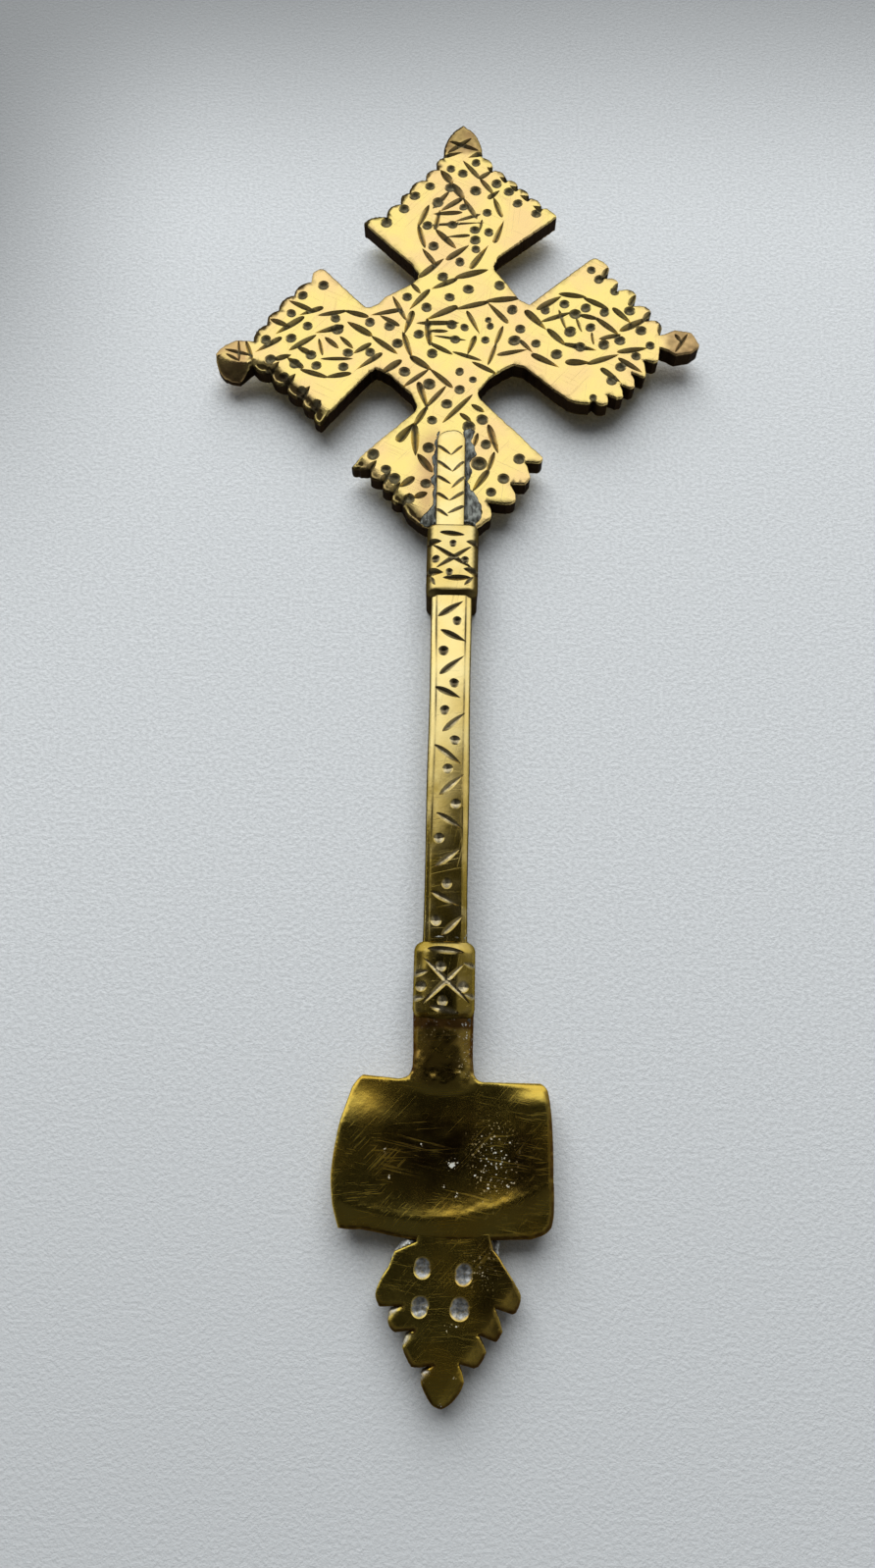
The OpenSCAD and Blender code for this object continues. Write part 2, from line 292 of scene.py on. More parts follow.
def trace(corners: Union[Rows, Array], spacing: float, height: float = VIEW.face_height) -> Array:
    """Walks round an outline whose edges bulge by the given rise, as flat parabolas.

    Args:
        corners: Rows of x, y and the outward rise of the edge that follows, anticlockwise.
        spacing: Wanted distance between points.
        height: Height at which the outline lies.

    Returns:
        Points of the closed outline, in the frame of the CAD model.
    """
    start = np.array(corners)
    run = np.roll(start, -1, 0)[:, :2] - start[:, :2]
    edge, share = walk(start, spacing)
    share = share[:, None]
    side = np.stack([run[:, 1], -run[:, 0]], 1) / np.hypot(run[:, 0], run[:, 1])[:, None]
    rise = 4.0 * start[edge, 2:3] * share * (1.0 - share)
    return VIEW.place(start[edge, :2] + run[edge] * share + side[edge] * rise, height)


@dataclass(frozen=True)
class Engraving:
    """Punched pits and chiselled strokes on one surface.

    A pit is a row of x, y and radius. Its floor rises with a power of the way from its middle,
    2 for a round bowl and 1 for a cone. A stroke is a row of its two ends, its width and the share
    of its length at which it is widest. It is a V groove whose width and depth swell and taper
    along it.
    """

    pits: Rows = ()
    strokes: Rows = ()
    height: float = VIEW.face_height
    pit_depth: float = 0.62
    stroke_depth: float = 0.5
    blunt: float = 1.3
    widen: float = 1.25
    stretch: float = 1.0
    steps: int = 22
    bowl: float = 2.0
    seed: int = 3
    pit_steps: int = 26
    pit_rings: tuple[float, ...] = (1.08, 1.0, 0.72, 0.4)
    lip: float = 0.05
    overrun: float = 0.03

    def _pits(self) -> tuple[Array, Array, Array]:
        """Gives each pit's middle, its two half axes and the turn of the first, a little uneven."""
        rows = np.array(self.pits, float).reshape(-1, 3)
        draw = np.random.default_rng(self.seed)
        uneven = draw.uniform(0.9, 1.1, (len(rows), 2))
        turn = draw.uniform(0.0, math.pi, len(rows))
        return VIEW.place(rows[:, :2], self.height), rows[:, 2:] * uneven, turn

    def _strokes(self) -> tuple[Array, Array, Array, Array]:
        """Gives each stroke's start, its run to the end, its width and its swell."""
        rows = np.array(self.strokes, float).reshape(-1, 6)
        start, end = VIEW.place(rows[:, :2], self.height), VIEW.place(rows[:, 2:4], self.height)
        spare = 0.5 * (self.stretch - 1.0) * (end - start)
        return start - spare, end - start + 2.0 * spare, self.widen * rows[:, 4], rows[:, 5]

    def _swell(self, share: Array, widest: Union[float, Array]) -> Array:
        """Gives the width at a share of the length as part of the full width.

        It is share and its rest, each over its value at the widest place, raised to powers in
        that same proportion, so that a stroke widest near one end is blunt there.
        """
        share = np.clip(share, 1e-6, 1.0 - 1e-6)
        fore = (share / widest) ** (self.blunt * widest)
        return fore * ((1.0 - share) / (1.0 - widest)) ** (self.blunt * (1.0 - widest))

    @staticmethod
    def _measure(points: Array, start: Array, run: Array) -> tuple[Array, Array]:
        """Gives each point's share of the way along a stroke, and its distance beside it."""
        length = np.hypot(*run)
        away = points - start
        return away @ run / length ** 2, np.abs(away @ [-run[1], run[0]] / length)

    def depth(self, points: Array) -> Array:
        """Gives how deep the deepest mark is cut at each point.

        Args:
            points: Places on the plane, in the frame of the CAD model.

        Returns:
            Depths, 0 where the metal isn't cut.
        """
        deepest = np.zeros(len(points))
        for middle, half, turn in zip(*self._pits()):
            away = points - middle
            u = (away[:, 0] * math.cos(turn) + away[:, 1] * math.sin(turn)) / half[0]
            v = (away[:, 1] * math.cos(turn) - away[:, 0] * math.sin(turn)) / half[1]
            rest = 1.0 - (u * u + v * v) ** (0.5 * self.bowl)
            deepest = np.maximum(deepest, self.pit_depth * half.mean() * rest)
        for start, run, width, widest in zip(*self._strokes()):
            share, across = self._measure(points, start, run)
            swell = np.where((share > 0.0) & (share < 1.0), self._swell(share, widest), 1e-6)
            cut = 1.0 - across / (0.5 * width * swell)
            deepest = np.maximum(deepest, self.stroke_depth * width * np.sqrt(swell) * cut)
        return deepest

    def near(self, points: Array, margin: float = 0.22) -> Array:
        """Tells which points lie within a margin of a mark, where loose points would fray its rim."""
        close = np.zeros(len(points), bool)
        for middle, half, _ in zip(*self._pits()):
            close |= np.hypot(*(points - middle).T) < half.max() + margin
        for start, run, width, widest in zip(*self._strokes()):
            share, across = self._measure(points, start, run)
            beside = across < 0.5 * width * self._swell(share, widest) + margin
            close |= beside & (share > 0.0) & (share < 1.0)
        return close

    def guide(self) -> Array:
        """Gives points on the rims, flanks and floors of all marks, for the triangles to follow."""
        middle, half, turn = self._pits()
        angle = np.linspace(0.0, math.tau, self.pit_steps, endpoint=False)
        share = np.array(self.pit_rings)[:, None]
        u, v = (share * np.cos(angle)).ravel(), (share * np.sin(angle)).ravel()
        u, v = half[:, :1] * u, half[:, 1:] * v
        cos, sin = np.cos(turn)[:, None], np.sin(turn)[:, None]
        pits = np.stack([middle[:, :1] + u * cos - v * sin, middle[:, 1:] + u * sin + v * cos], 2)
        start, run, width, widest = (a[:, None] for a in self._strokes())
        share = 0.5 - 0.5 * np.cos(np.linspace(0.02, math.pi - 0.02, self.steps))
        wide = 0.5 * width * self._swell(share[None], widest)
        side = np.stack([-run[..., 1], run[..., 0]], -1) / np.hypot(run[..., 0], run[..., 1])[..., None]
        line = start + run * share[None, :, None]
        offsets = ((1, self.lip), (1, 0), (0, 0), (-1, 0), (-1, -self.lip))
        rails = [line + side * (wide * s + gap)[..., None] for s, gap in offsets]
        ends = np.concatenate([start - self.overrun * run, start + (1.0 + self.overrun) * run], 1)
        return np.concatenate([rows.reshape(-1, 2) for rows in (pits, middle, *rails, ends)])


@dataclass
class Skin:
    """A closed mesh of triangles, with its wear and painted shade."""

    points: Array
    faces: Array
    wear: dict[WearAndShade, Array] = field(default_factory=dict)

    def piece(self, name: str, sharp: float = 32.0) -> Piece:
        """Writes the mesh, in metres, with one attribute for each kind of wear and painted shade.

        Args:
            name: Name of the new object.
            sharp: Angle in degrees past which an edge is drawn sharp.

        Returns:
            The new object, at the origin.
        """
        mesh = bpy.data.meshes.new(name)
        mesh.from_pydata(self.points * MM, [], self.faces.tolist())
        for kind in WearAndShade:
            values = self.wear.get(kind, np.zeros(len(self.points))).astype(np.float32)
            mesh.attributes.new(kind.value, "FLOAT", "POINT").data.foreach_set("value", values)
        mesh.shade_smooth()
        mesh.set_sharp_from_angle(angle=math.radians(sharp))
        made = bpy.data.objects.new(name, mesh)
        bpy.context.scene.collection.objects.link(made)
        return made


@dataclass
class Relief:
    """A piece between a front and a back height over one outline, with engraving in its front.

    The front is a height of x and y on triangles that follow the outline, the creases and the
    engraving. It falls off in a quarter circle within the rounding of the outline. Walls join
    it to the back, which is made the same way without engraving.
    """

    ring: Array
    front: Height
    back: Height
    marks: Engraving = field(default_factory=Engraving)
    creases: tuple[Array, ...] = ()
    pitch: float = 1.2
    rounding: float = 0.3
    # rim sets how dark the painted shade along the outline is, at each corner; rim_width how far in it
    # reaches.
    rim: Union[float, Array] = 0.3
    rim_width: float = 0.6
    file_marks: float = 0.04
    cut_full: float = 0.16
    insets: tuple[float, ...] = (0.12, 0.4, 1.0)
    row_share: float = 0.866
    cell: float = 0.03
    back_pitch: float = 1.6
    least_wall: float = 0.2
    wall_rows: tuple[float, ...] = (0.2, 0.5, 0.8)
    # How dark the outline's own corners turn, front and back, in the colour of the walls.
    edge_darkening: float = 0.7

    def _sheet(self, guide: list[Array], pitch: float) -> tuple[Array, Array, Array, Array]:
        """Fills the outline with points and triangles.

        Args:
            guide: Further points that the triangles should follow.
            pitch: Spacing of the loose points between them.

        Returns:
            The points, their distance to the outline, their painted rim shade, and the triangles.
        """
        low, high = self.ring.min(0), self.ring.max(0)
        columns, rows = np.meshgrid(np.arange(low[0], high[0], pitch),
                                    np.arange(low[1], high[1], pitch * self.row_share))
        columns = columns + 0.5 * pitch * (np.arange(len(rows)) % 2)[:, None]
        side = outward(self.ring)
        insets = [self.ring - side * self.rounding * s for s in self.insets]
        grid = np.stack([columns.ravel(), rows.ravel()], 1)
        grid = grid[~self.marks.near(grid)] if guide else grid
        loose = np.concatenate([*insets, *guide, grid])
        _, first = np.unique(np.round(loose / self.cell).astype(int), axis=0, return_index=True)
        loose = loose[np.sort(first)]
        loose = loose[inside(loose, self.ring)]
        gap, corner = edge_distance(loose, self.ring)
        kept = gap > 0.1 * self.rounding
        points = np.concatenate([self.ring, loose[kept]])
        gap = np.concatenate([np.zeros(len(self.ring)), gap[kept]])
        nearest = np.concatenate([np.arange(len(self.ring)), corner[kept]])
        # Painted shade along the outline, fading inwards over rim_width.
        rim = np.broadcast_to(self.rim, len(self.ring))[nearest]
        rim = rim * (1.0 - ramp(gap, 0.4 * self.rim_width, self.rim_width))
        return points, gap, rim, triangulate(points, len(self.ring))

    def _fall(self, gap: Array) -> Array:
        """Gives how far the rounded edge has fallen at a distance from the outline, a quarter circle."""
        rest = 1.0 - np.clip(gap / self.rounding, 0.0, 1.0)
        return self.rounding * (1.0 - np.sqrt(1.0 - rest * rest))

    def skin(self) -> Skin:
        """Makes the front, the back and the walls between them.

        Returns:
            The closed mesh with its cut, rim and wall wear.
        """
        corners = len(self.ring)
        flat, gap, rim, faces = self._sheet([self.marks.guide(), *self.creases], self.pitch)
        depth = np.where(gap > 0.0, self.marks.depth(flat), 0.0)
        top = np.column_stack([flat, self.front(flat) - self._fall(gap) - depth])
        under, under_gap, under_rim, under_faces = self._sheet([], self.back_pitch * self.pitch)
        low = np.column_stack([under, self.back(under) + self._fall(under_gap)])
        top[:corners, 2] = np.maximum(top[:corners, 2], low[:corners, 2] + self.least_wall)
        shares = np.array(self.wall_rows)[:, None]
        turned = np.column_stack([self.ring.sum(1), self.ring[:, 0] - self.ring[:, 1]])
        waver = self.file_marks * ripple(turned, 1.1, 5)
        drawn = self.ring - outward(self.ring) * np.abs(waver)[:, None]
        height = top[:corners, 2] * (1.0 - shares) + low[:corners, 2] * shares
        wall = np.concatenate([np.column_stack([drawn, row]) for row in height])
        rings = np.concatenate([np.arange(corners), len(top) + np.arange(len(wall) + corners)])
        rings = rings.reshape(-1, corners)
        upper, lower = rings[:-1], rings[1:]
        upper_next, lower_next = np.roll(upper, -1, 1), np.roll(lower, -1, 1)
        sides = np.concatenate([np.stack([lower, lower_next, upper_next], 2).reshape(-1, 3),
                                np.stack([lower, upper_next, upper], 2).reshape(-1, 3)])
        every = np.concatenate([faces, sides, under_faces[:, ::-1] + len(top) + len(wall)])
        full, none = np.ones(len(wall)), np.zeros(len(wall) + len(low))
        # The walls, and the outline's corners, take the dark wall colour: tarnish with painted shade.
        edge, under_edge = (self.edge_darkening * (away == 0.0) for away in (gap, under_gap))
        wear = {
            WearAndShade.CUT: np.concatenate([np.clip(depth / self.cut_full, 0.0, 1.0), none]),
            WearAndShade.RIM_SHADE: np.concatenate([rim, full, under_rim]),
            WearAndShade.WALL: np.concatenate([edge, full, under_edge]),
        }
        return Skin(np.concatenate([top, wall, low]), every, wear)


# Nodes

class Sheet:
    """One node tree, with short calls to fill it."""

    def __init__(self, tree: bpy.types.NodeTree) -> None:
        """Starts on an empty tree."""
        self.tree = tree
        tree.nodes.clear()

    def add(self, kind: str, inputs: dict[Union[int, str], Socket], **settings: object) -> bpy.types.Node:
        """Adds a node.

        Args:
            kind: Node type without its common beginning.
            inputs: Values or sockets for its inputs.
            **settings: Properties of the node.

        Returns:
            The new node.
        """
        node = self.tree.nodes.new("ShaderNode" + kind)
        for key, value in settings.items():
            setattr(node, key, value)
        for key, value in inputs.items():
            if isinstance(value, Output):
                self.tree.links.new(value, node.inputs[key])
            else:
                node.inputs[key].default_value = value
        return node

    def math(self, operation: str, *values: Socket) -> Output:
        """Adds a Math node and gives its result."""
        return self.add("Math", dict(enumerate(values)), operation=operation).outputs[0]

    def times(self, first: Socket, second: Socket) -> Output:
        """Multiplies two values."""
        return self.math("MULTIPLY", first, second)

    def most(self, *values: Socket) -> Output:
        """Gives the greatest of some values."""
        return reduce(lambda first, second: self.math("MAXIMUM", first, second), values)

    def mix(self, share: Socket, first: Socket, second: Socket) -> Output:
        """Mixes two colours."""
        pair = [v if isinstance(v, Output) else (*v, 1.0) for v in (first, second)]
        return self.add("Mix", {0: share, 6: pair[0], 7: pair[1]}, data_type="RGBA").outputs[2]

    def blend(self, share: Socket, first: Socket, second: Socket) -> Output:
        """Mixes two values."""
        return self.add("Mix", {0: share, 2: first, 3: second}, data_type="FLOAT").outputs[0]

    def step(self, value: Socket, low: Socket, high: Socket, first: float = 0.0,
             last: float = 1.0) -> Output:
        """Maps a value from low and high to first and last, smoothly."""
        limits = {0: value, 1: low, 2: high, 3: first, 4: last}
        return self.add("MapRange", limits, interpolation_type="SMOOTHSTEP").outputs[0]

    def noise(self, place: Socket, size: Socket, detail: float = 2.0, rough: float = 0.5) -> Output:
        """Adds noise and gives its value."""
        inputs = {"Vector": place, "Scale": size, "Detail": detail, "Roughness": rough}
        return self.add("TexNoise", inputs).outputs[0]

    def bent(self, place: Socket, seen: Socket, size: Socket, detail: float, by: Triple) -> Output:
        """Shifts a place by coloured noise that is read at another place."""
        noise = self.add("TexNoise", {"Vector": seen, "Scale": size, "Detail": detail})
        inputs = {0: noise.outputs["Color"], 1: by, 2: place}
        return self.add("VectorMath", inputs, operation="MULTIPLY_ADD").outputs[0]

    def wear(self, kind: WearAndShade) -> Output:
        """Reads one of the mesh's values of wear and painted shade."""
        return self.add("Attribute", {}, attribute_name=kind.value).outputs["Fac"]

    def group(self, tree: bpy.types.NodeTree, **inputs: Socket) -> Output:
        """Places a shared effect and gives its one output."""
        return self.add("Group", inputs, node_tree=tree).outputs[0]

    def surface(self, inputs: dict[str, Socket]) -> None:
        """Ends a material in a Principled shader with the given inputs."""
        shader = self.add("BsdfPrincipled", inputs)
        self.add("OutputMaterial", {0: shader.outputs[0]}).is_active_output = True


def new_material(name: str) -> tuple[bpy.types.Material, Sheet, Output]:
    """Makes a material, and gives it, a sheet on its nodes and its Object coordinates."""
    made = bpy.data.materials.new(name)
    made.use_nodes = True
    sheet = Sheet(made.node_tree)
    return made, sheet, sheet.add("TexCoord", {}).outputs["Object"]


class Effects:
    """Shared effects of the metal, each a node group that is built once."""

    def __init__(self) -> None:
        """Builds the groups."""
        self.scratches = self._scratches()
        self.specks = self._specks()
        # grime makes masks uneven, for grime in cuts and painted shade alike.
        self.grime = self._uneven_mask()

    @staticmethod
    def _open(name: str, **inputs: str) -> tuple[bpy.types.NodeTree, Sheet, dict[str, Output]]:
        """Starts a group whose result is one value.

        Args:
            name: Name of the group.
            **inputs: Socket type of each named input.

        Returns:
            The group, a sheet on it, and its inputs' sockets by name.
        """
        tree = bpy.data.node_groups.new(name, "ShaderNodeTree")
        sheet = Sheet(tree)
        for key, kind in inputs.items():
            tree.interface.new_socket(key, in_out="INPUT", socket_type="NodeSocket" + kind)
        tree.interface.new_socket("Result", in_out="OUTPUT", socket_type="NodeSocketFloat")
        entry = tree.nodes.new("NodeGroupInput")
        return tree, sheet, {key: entry.outputs[key] for key in inputs}

    @staticmethod
    def _close(tree: bpy.types.NodeTree, value: Output) -> bpy.types.NodeTree:
        """Leads a value out of a group."""
        tree.links.new(value, tree.nodes.new("NodeGroupOutput").inputs[0])
        return tree

    def _scratches(self) -> bpy.types.NodeTree:
        """Fine scratches: noise drawn out to turned threads, cut to its highest share, in patches."""
        tree, sheet, given = self._open(
            "hand scratches", Vector="Vector", Size="Float", Turn="Float", Share="Float")
        turn = {"Vector": given["Vector"], "Angle": given["Turn"]}
        turned = sheet.add("VectorRotate", turn, rotation_type="Z_AXIS").outputs[0]
        bent = sheet.bent(turned, given["Vector"], 70.0, 0.0, (0.0008, 0.0008, 0.0))
        drawn = sheet.add("VectorMath", {0: bent, 1: (1.0, 0.012, 1.0)}, operation="MULTIPLY").outputs[0]
        threads = sheet.noise(drawn, given["Size"], 2.0, 0.55)
        edge = sheet.math("SUBTRACT", 0.75, given["Share"])
        patch = sheet.step(sheet.noise(turned, 170.0, 1.0), 0.4, 0.6)
        highest = sheet.step(threads, edge, sheet.math("ADD", edge, 0.08))
        return self._close(tree, sheet.times(patch, highest))

    def _specks(self) -> bpy.types.NodeTree:
        """Loose crumbs: middles of cells bent out of round by noise, thinned out at random."""
        tree, sheet, given = self._open("specks", Vector="Vector", Size="Float", Share="Float")
        place, size = given["Vector"], given["Size"]
        bent = sheet.bent(place, place, size, 2.0, (0.0006, 0.0006, 0.0006))
        cell = sheet.add("TexVoronoi", {"Vector": bent, "Scale": size})
        chance = sheet.add("SeparateColor", {0: cell.outputs["Color"]})
        taken = sheet.math("LESS_THAN", chance.outputs[0], given["Share"])
        reach = sheet.math("MULTIPLY_ADD", chance.outputs[1], 0.32, 0.1)
        body = sheet.step(cell.outputs["Distance"], reach, sheet.math("SUBTRACT", reach, 0.1))
        return self._close(tree, sheet.times(taken, body))

    def _uneven_mask(self) -> bpy.types.NodeTree:
        """Makes a mask uneven, for grime in cuts and painted shade alike: the mask, made stronger or weaker
        by fine noise.
        """
        tree, sheet, given = self._open(
            "uneven mask", Vector="Vector", Size="Float", Mask="Float", Uneven="Float")
        grain = sheet.math("SUBTRACT", sheet.noise(given["Vector"], given["Size"], 3.0), 0.5)
        swing = sheet.math("MULTIPLY_ADD", grain, sheet.times(given["Uneven"], 2.0), 1.0)
        return self._close(tree, sheet.add("Clamp", {0: sheet.times(given["Mask"], swing)}).outputs[0])


@dataclass(frozen=True)
class BrassFinish:
    """Old brass: its clean and warm tones, its grime, and how rough and scratched it is."""

    name: str
    clean: Colour
    warm: Colour
    grime: Colour
    # Dark tarnish of filed walls, which also serves as painted shade on walls, rims, creases and marks.
    wall: Colour
    # Tone for heat tint, and for painted shade where it darkens whole areas.
    stain_and_shade: Colour
    residue: Colour = (0.58, 0.60, 0.56)
    roughness: float = 0.2
    stain_roughness: float = 0.3
    scratch_share: float = 0.15
    scratch_bump: float = 0.2
    scratch_turns: Triple = (0.7, -1.1, 0.1)
    grain_bump: float = 0.05
    # How strongly the painted rim shade takes the wall colour.
    rim_shade_share: float = 0.95
    rim_uneven: float = 1.2
    scratch_fineness: float = 1.0
    cut_metal: float = 0.6
    cut_roughness: float = 0.42
    cut_depth: float = 0.4
    cut_grain: float = 1300.0
    speck_size: float = 1900.0

    def material(self, effects: Effects) -> bpy.types.Material:
        """Builds the material.

        Colour runs from clean to warm in broad patches, takes the stained tone where the metal was heated
        and where painted shade darkens whole areas, darkens with painted shade along outlines, creases and
        marks, turns to grime in cuts, and turns dark on the walls with tarnish and painted shade.

        Args:
            effects: Shared effects.

        Returns:
            The finished material.
        """
        made, sheet, place = new_material(self.name)
        # rim carries painted shade; wall carries tarnish with painted shade; the stained tone is heat tint
        # and painted shade.
        cut, rim, wall, stain_and_shade = (
            sheet.group(effects.grime, Vector=place, Size=size, Mask=sheet.wear(kind), Uneven=uneven)
            for kind, size, uneven in (
                (WearAndShade.CUT, 2600.0, 0.6), (WearAndShade.RIM_SHADE, 900.0, self.rim_uneven), (WearAndShade.WALL, 700.0, 0.5),
                (WearAndShade.STAIN_AND_SHADE, 350.0, 0.9)))
        dust = sheet.wear(WearAndShade.RESIDUE)
        specks = sheet.group(effects.specks, Vector=place, Size=self.speck_size, Share=0.65)
        grit = sheet.math("SUBTRACT", sheet.noise(place, 1400.0, 3.0), 0.5)
        crust = sheet.math("MULTIPLY_ADD", grit, 1.6, dust)
        residue = sheet.most(sheet.times(specks, dust), sheet.step(crust, 1.35, 1.6))
        broad = sheet.step(sheet.noise(place, 120.0, 3.0), 0.35, 0.68)
        fine = sheet.step(sheet.noise(place, 1500.0, 3.0), 0.55, 0.75)
        scratch = sheet.most(*(
            sheet.group(effects.scratches, Vector=place, Size=size * self.scratch_fineness, Turn=turn,
                        Share=self.scratch_share)
            for size, turn in zip((4200.0, 3600.0, 3000.0), self.scratch_turns)))
        patchy = sheet.step(sheet.noise(place, self.cut_grain, 3.0, 0.65), 0.4, 0.62)
        soil = sheet.mix(patchy, tuple(self.cut_depth * c for c in self.grime), self.grime)
        # Painted shade along rims darkens the grime in marks too.
        soil = sheet.mix(sheet.times(rim, 0.85), soil, self.wall)
        tone = sheet.mix(broad, self.clean, self.warm)
        # Heat tint and painted shade, painted rim shade and the dark walls are mixed into the colour here.
        for share, colour in (
                (sheet.times(fine, 0.25), self.warm), (stain_and_shade, self.stain_and_shade),
                (sheet.times(scratch, 0.22), self.warm), (sheet.times(rim, self.rim_shade_share), self.wall),
                (wall, self.wall), (cut, soil), (residue, self.residue)):
            tone = sheet.mix(share, tone, colour)
        rough = sheet.math("MULTIPLY_ADD", broad, 0.06, self.roughness)
        for share, value in (
                (stain_and_shade, self.stain_roughness), (sheet.most(wall, rim), 0.5), (cut, self.cut_roughness),
                (sheet.most(residue, sheet.times(scratch, 0.25)), 0.75)):
            rough = sheet.blend(share, rough, value)
        metal = 1.0
        for share, value in ((wall, 0.8), (cut, self.cut_metal), (residue, 0.0)):
            metal = sheet.blend(share, metal, value)
        grain = sheet.noise(place, 900.0, 4.0, 0.6)
        dents = sheet.times(sheet.noise(place, 300.0, 2.0), 2.0)
        coarse = sheet.math("ADD", sheet.times(sheet.most(cut, wall), 3.0), 1.0)
        height = sheet.math("ADD", sheet.times(grain, coarse), dents)
        bump = {"Height": height, "Strength": self.grain_bump, "Distance": 0.0004}
        lines = {"Height": scratch, "Strength": self.scratch_bump, "Distance": 0.00004,
                 "Normal": sheet.add("Bump", bump).outputs[0]}
        sheet.surface({
            "Base Color": tone, "Roughness": rough, "Metallic": metal,
            "Normal": sheet.add("Bump", lines, invert=True).outputs[0],
            "Specular IOR Level": 0.25, "Specular Tint": (0.3, 0.25, 0.18, 1.0)})
        return made


@dataclass(frozen=True)
class SolderFinish:
    """Rough grey solder with dark flux in its hollows."""

    name: str = "grey solder"
    grey: Colour = (0.28, 0.305, 0.27)
    flux: Colour = (0.020, 0.019, 0.014)
    pale: Colour = (0.60, 0.62, 0.59)

    def material(self, effects: Effects) -> bpy.types.Material:
        """Builds the material: grey and flux in patches, with pale specks and a lumpy bump.

        Args:
            effects: Shared effects.

        Returns:
            The finished material.
        """
        made, sheet, place = new_material(self.name)
        drawn = sheet.add("Mapping", {"Vector": place, "Scale": (1.0, 0.4, 1.0)}).outputs[0]
        lumps = sheet.noise(drawn, 1100.0, 4.0, 0.65)
        flux = sheet.most(sheet.step(lumps, 0.6, 0.44), sheet.wear(WearAndShade.STAIN_AND_SHADE))
        specks = sheet.group(effects.specks, Vector=place, Size=2600.0, Share=0.3)
        pale = sheet.times(sheet.wear(WearAndShade.RESIDUE), sheet.step(lumps, 0.34, 0.5))
        pale = sheet.most(sheet.times(specks, 0.4), pale)
        tone = sheet.mix(sheet.times(flux, 0.9), self.grey, self.flux)
        tone = sheet.mix(pale, tone, self.pale)
        rough = sheet.blend(lumps, 0.3, 0.8)
        bump = sheet.add("Bump", {"Height": lumps, "Strength": 0.3, "Distance": 0.0003}).outputs[0]
        sheet.surface({"Base Color": tone, "Roughness": rough, "Normal": bump, "Metallic": 0.3})
        return made


FINISHES = {
    # The head's residue colour is the dark band beside the tongue: burnt flux with painted shade.
    Slot.HEAD: BrassFinish(
        "polished head brass", clean=(1.0, 0.80, 0.27), warm=(1.0, 0.72, 0.32), grime=(0.22, 0.195, 0.115),
        wall=(0.030, 0.018, 0.008), stain_and_shade=(0.60, 0.37, 0.17), residue=(0.035, 0.032, 0.024)),
    Slot.HANDLE: BrassFinish(
        "hand-worn handle brass", clean=(1.0, 0.83, 0.38), warm=(1.0, 0.76, 0.27), grime=(0.70, 0.60, 0.38),
        wall=(0.045, 0.030, 0.010), stain_and_shade=(0.44, 0.31, 0.055), roughness=0.12, stain_roughness=0.12,
        scratch_share=0.12, scratch_bump=0.08, scratch_turns=(1.57, 0.2, 1.35), grain_bump=0.015,
        rim_shade_share=0.9, rim_uneven=0.4, cut_metal=0.95, cut_roughness=0.2, cut_depth=0.45, cut_grain=900.0),
    Slot.BASE: BrassFinish(
        "dull base brass", clean=(0.84, 0.63, 0.12), warm=(0.82, 0.53, 0.07), grime=(0.50, 0.52, 0.52),
        wall=(0.075, 0.030, 0.010), stain_and_shade=(0.30, 0.18, 0.05), roughness=0.19, stain_roughness=0.15,
        scratch_share=0.16, scratch_bump=0.05, scratch_turns=(1.48, 0.75, 1.75), scratch_fineness=1.6,
        grain_bump=0.06, rim_shade_share=0.9, rim_uneven=0.5, cut_metal=0.82, cut_roughness=0.32, cut_depth=0.4,
        cut_grain=1500.0, speck_size=2600.0),
    Slot.SOLDER: SolderFinish(),
}


class Finishes:
    """All materials of the cross, each built once."""

    def __init__(self) -> None:
        """Builds the shared effects, then the material of each slot."""
        effects = Effects()
        self.by_slot = {slot: finish.material(effects) for slot, finish in FINISHES.items()}


# Sub-assemblies

@dataclass
class Part:
    """A sub-assembly: one or more meshes that stand for CAD nodes and share a slot."""

    finishes: Finishes
    slot: Slot = Slot.HEAD

    def settle(self, piece: Piece, node: str) -> Piece:
        """Gives a piece its slot's material and its body, and hides the CAD node that it stands for."""
        piece.data.materials.append(self.finishes.by_slot[self.slot])
        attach(piece, "root")
        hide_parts(node)
        return piece


def facet(points: Array, start: Pair, end: Pair) -> Array:
    """Gives the way past a filed edge, right of the line from start to end.

    It is 0 beyond both ends of the edge and above its start.
    """
    run = np.subtract(end, start)
    along = (points - start) @ run / (run @ run)
    reached = (along > -0.1) & (along < 1.1) & (points[:, 1] < start[1] - 0.05)
    return np.where(reached, past_line(points, start, end), 0.0)


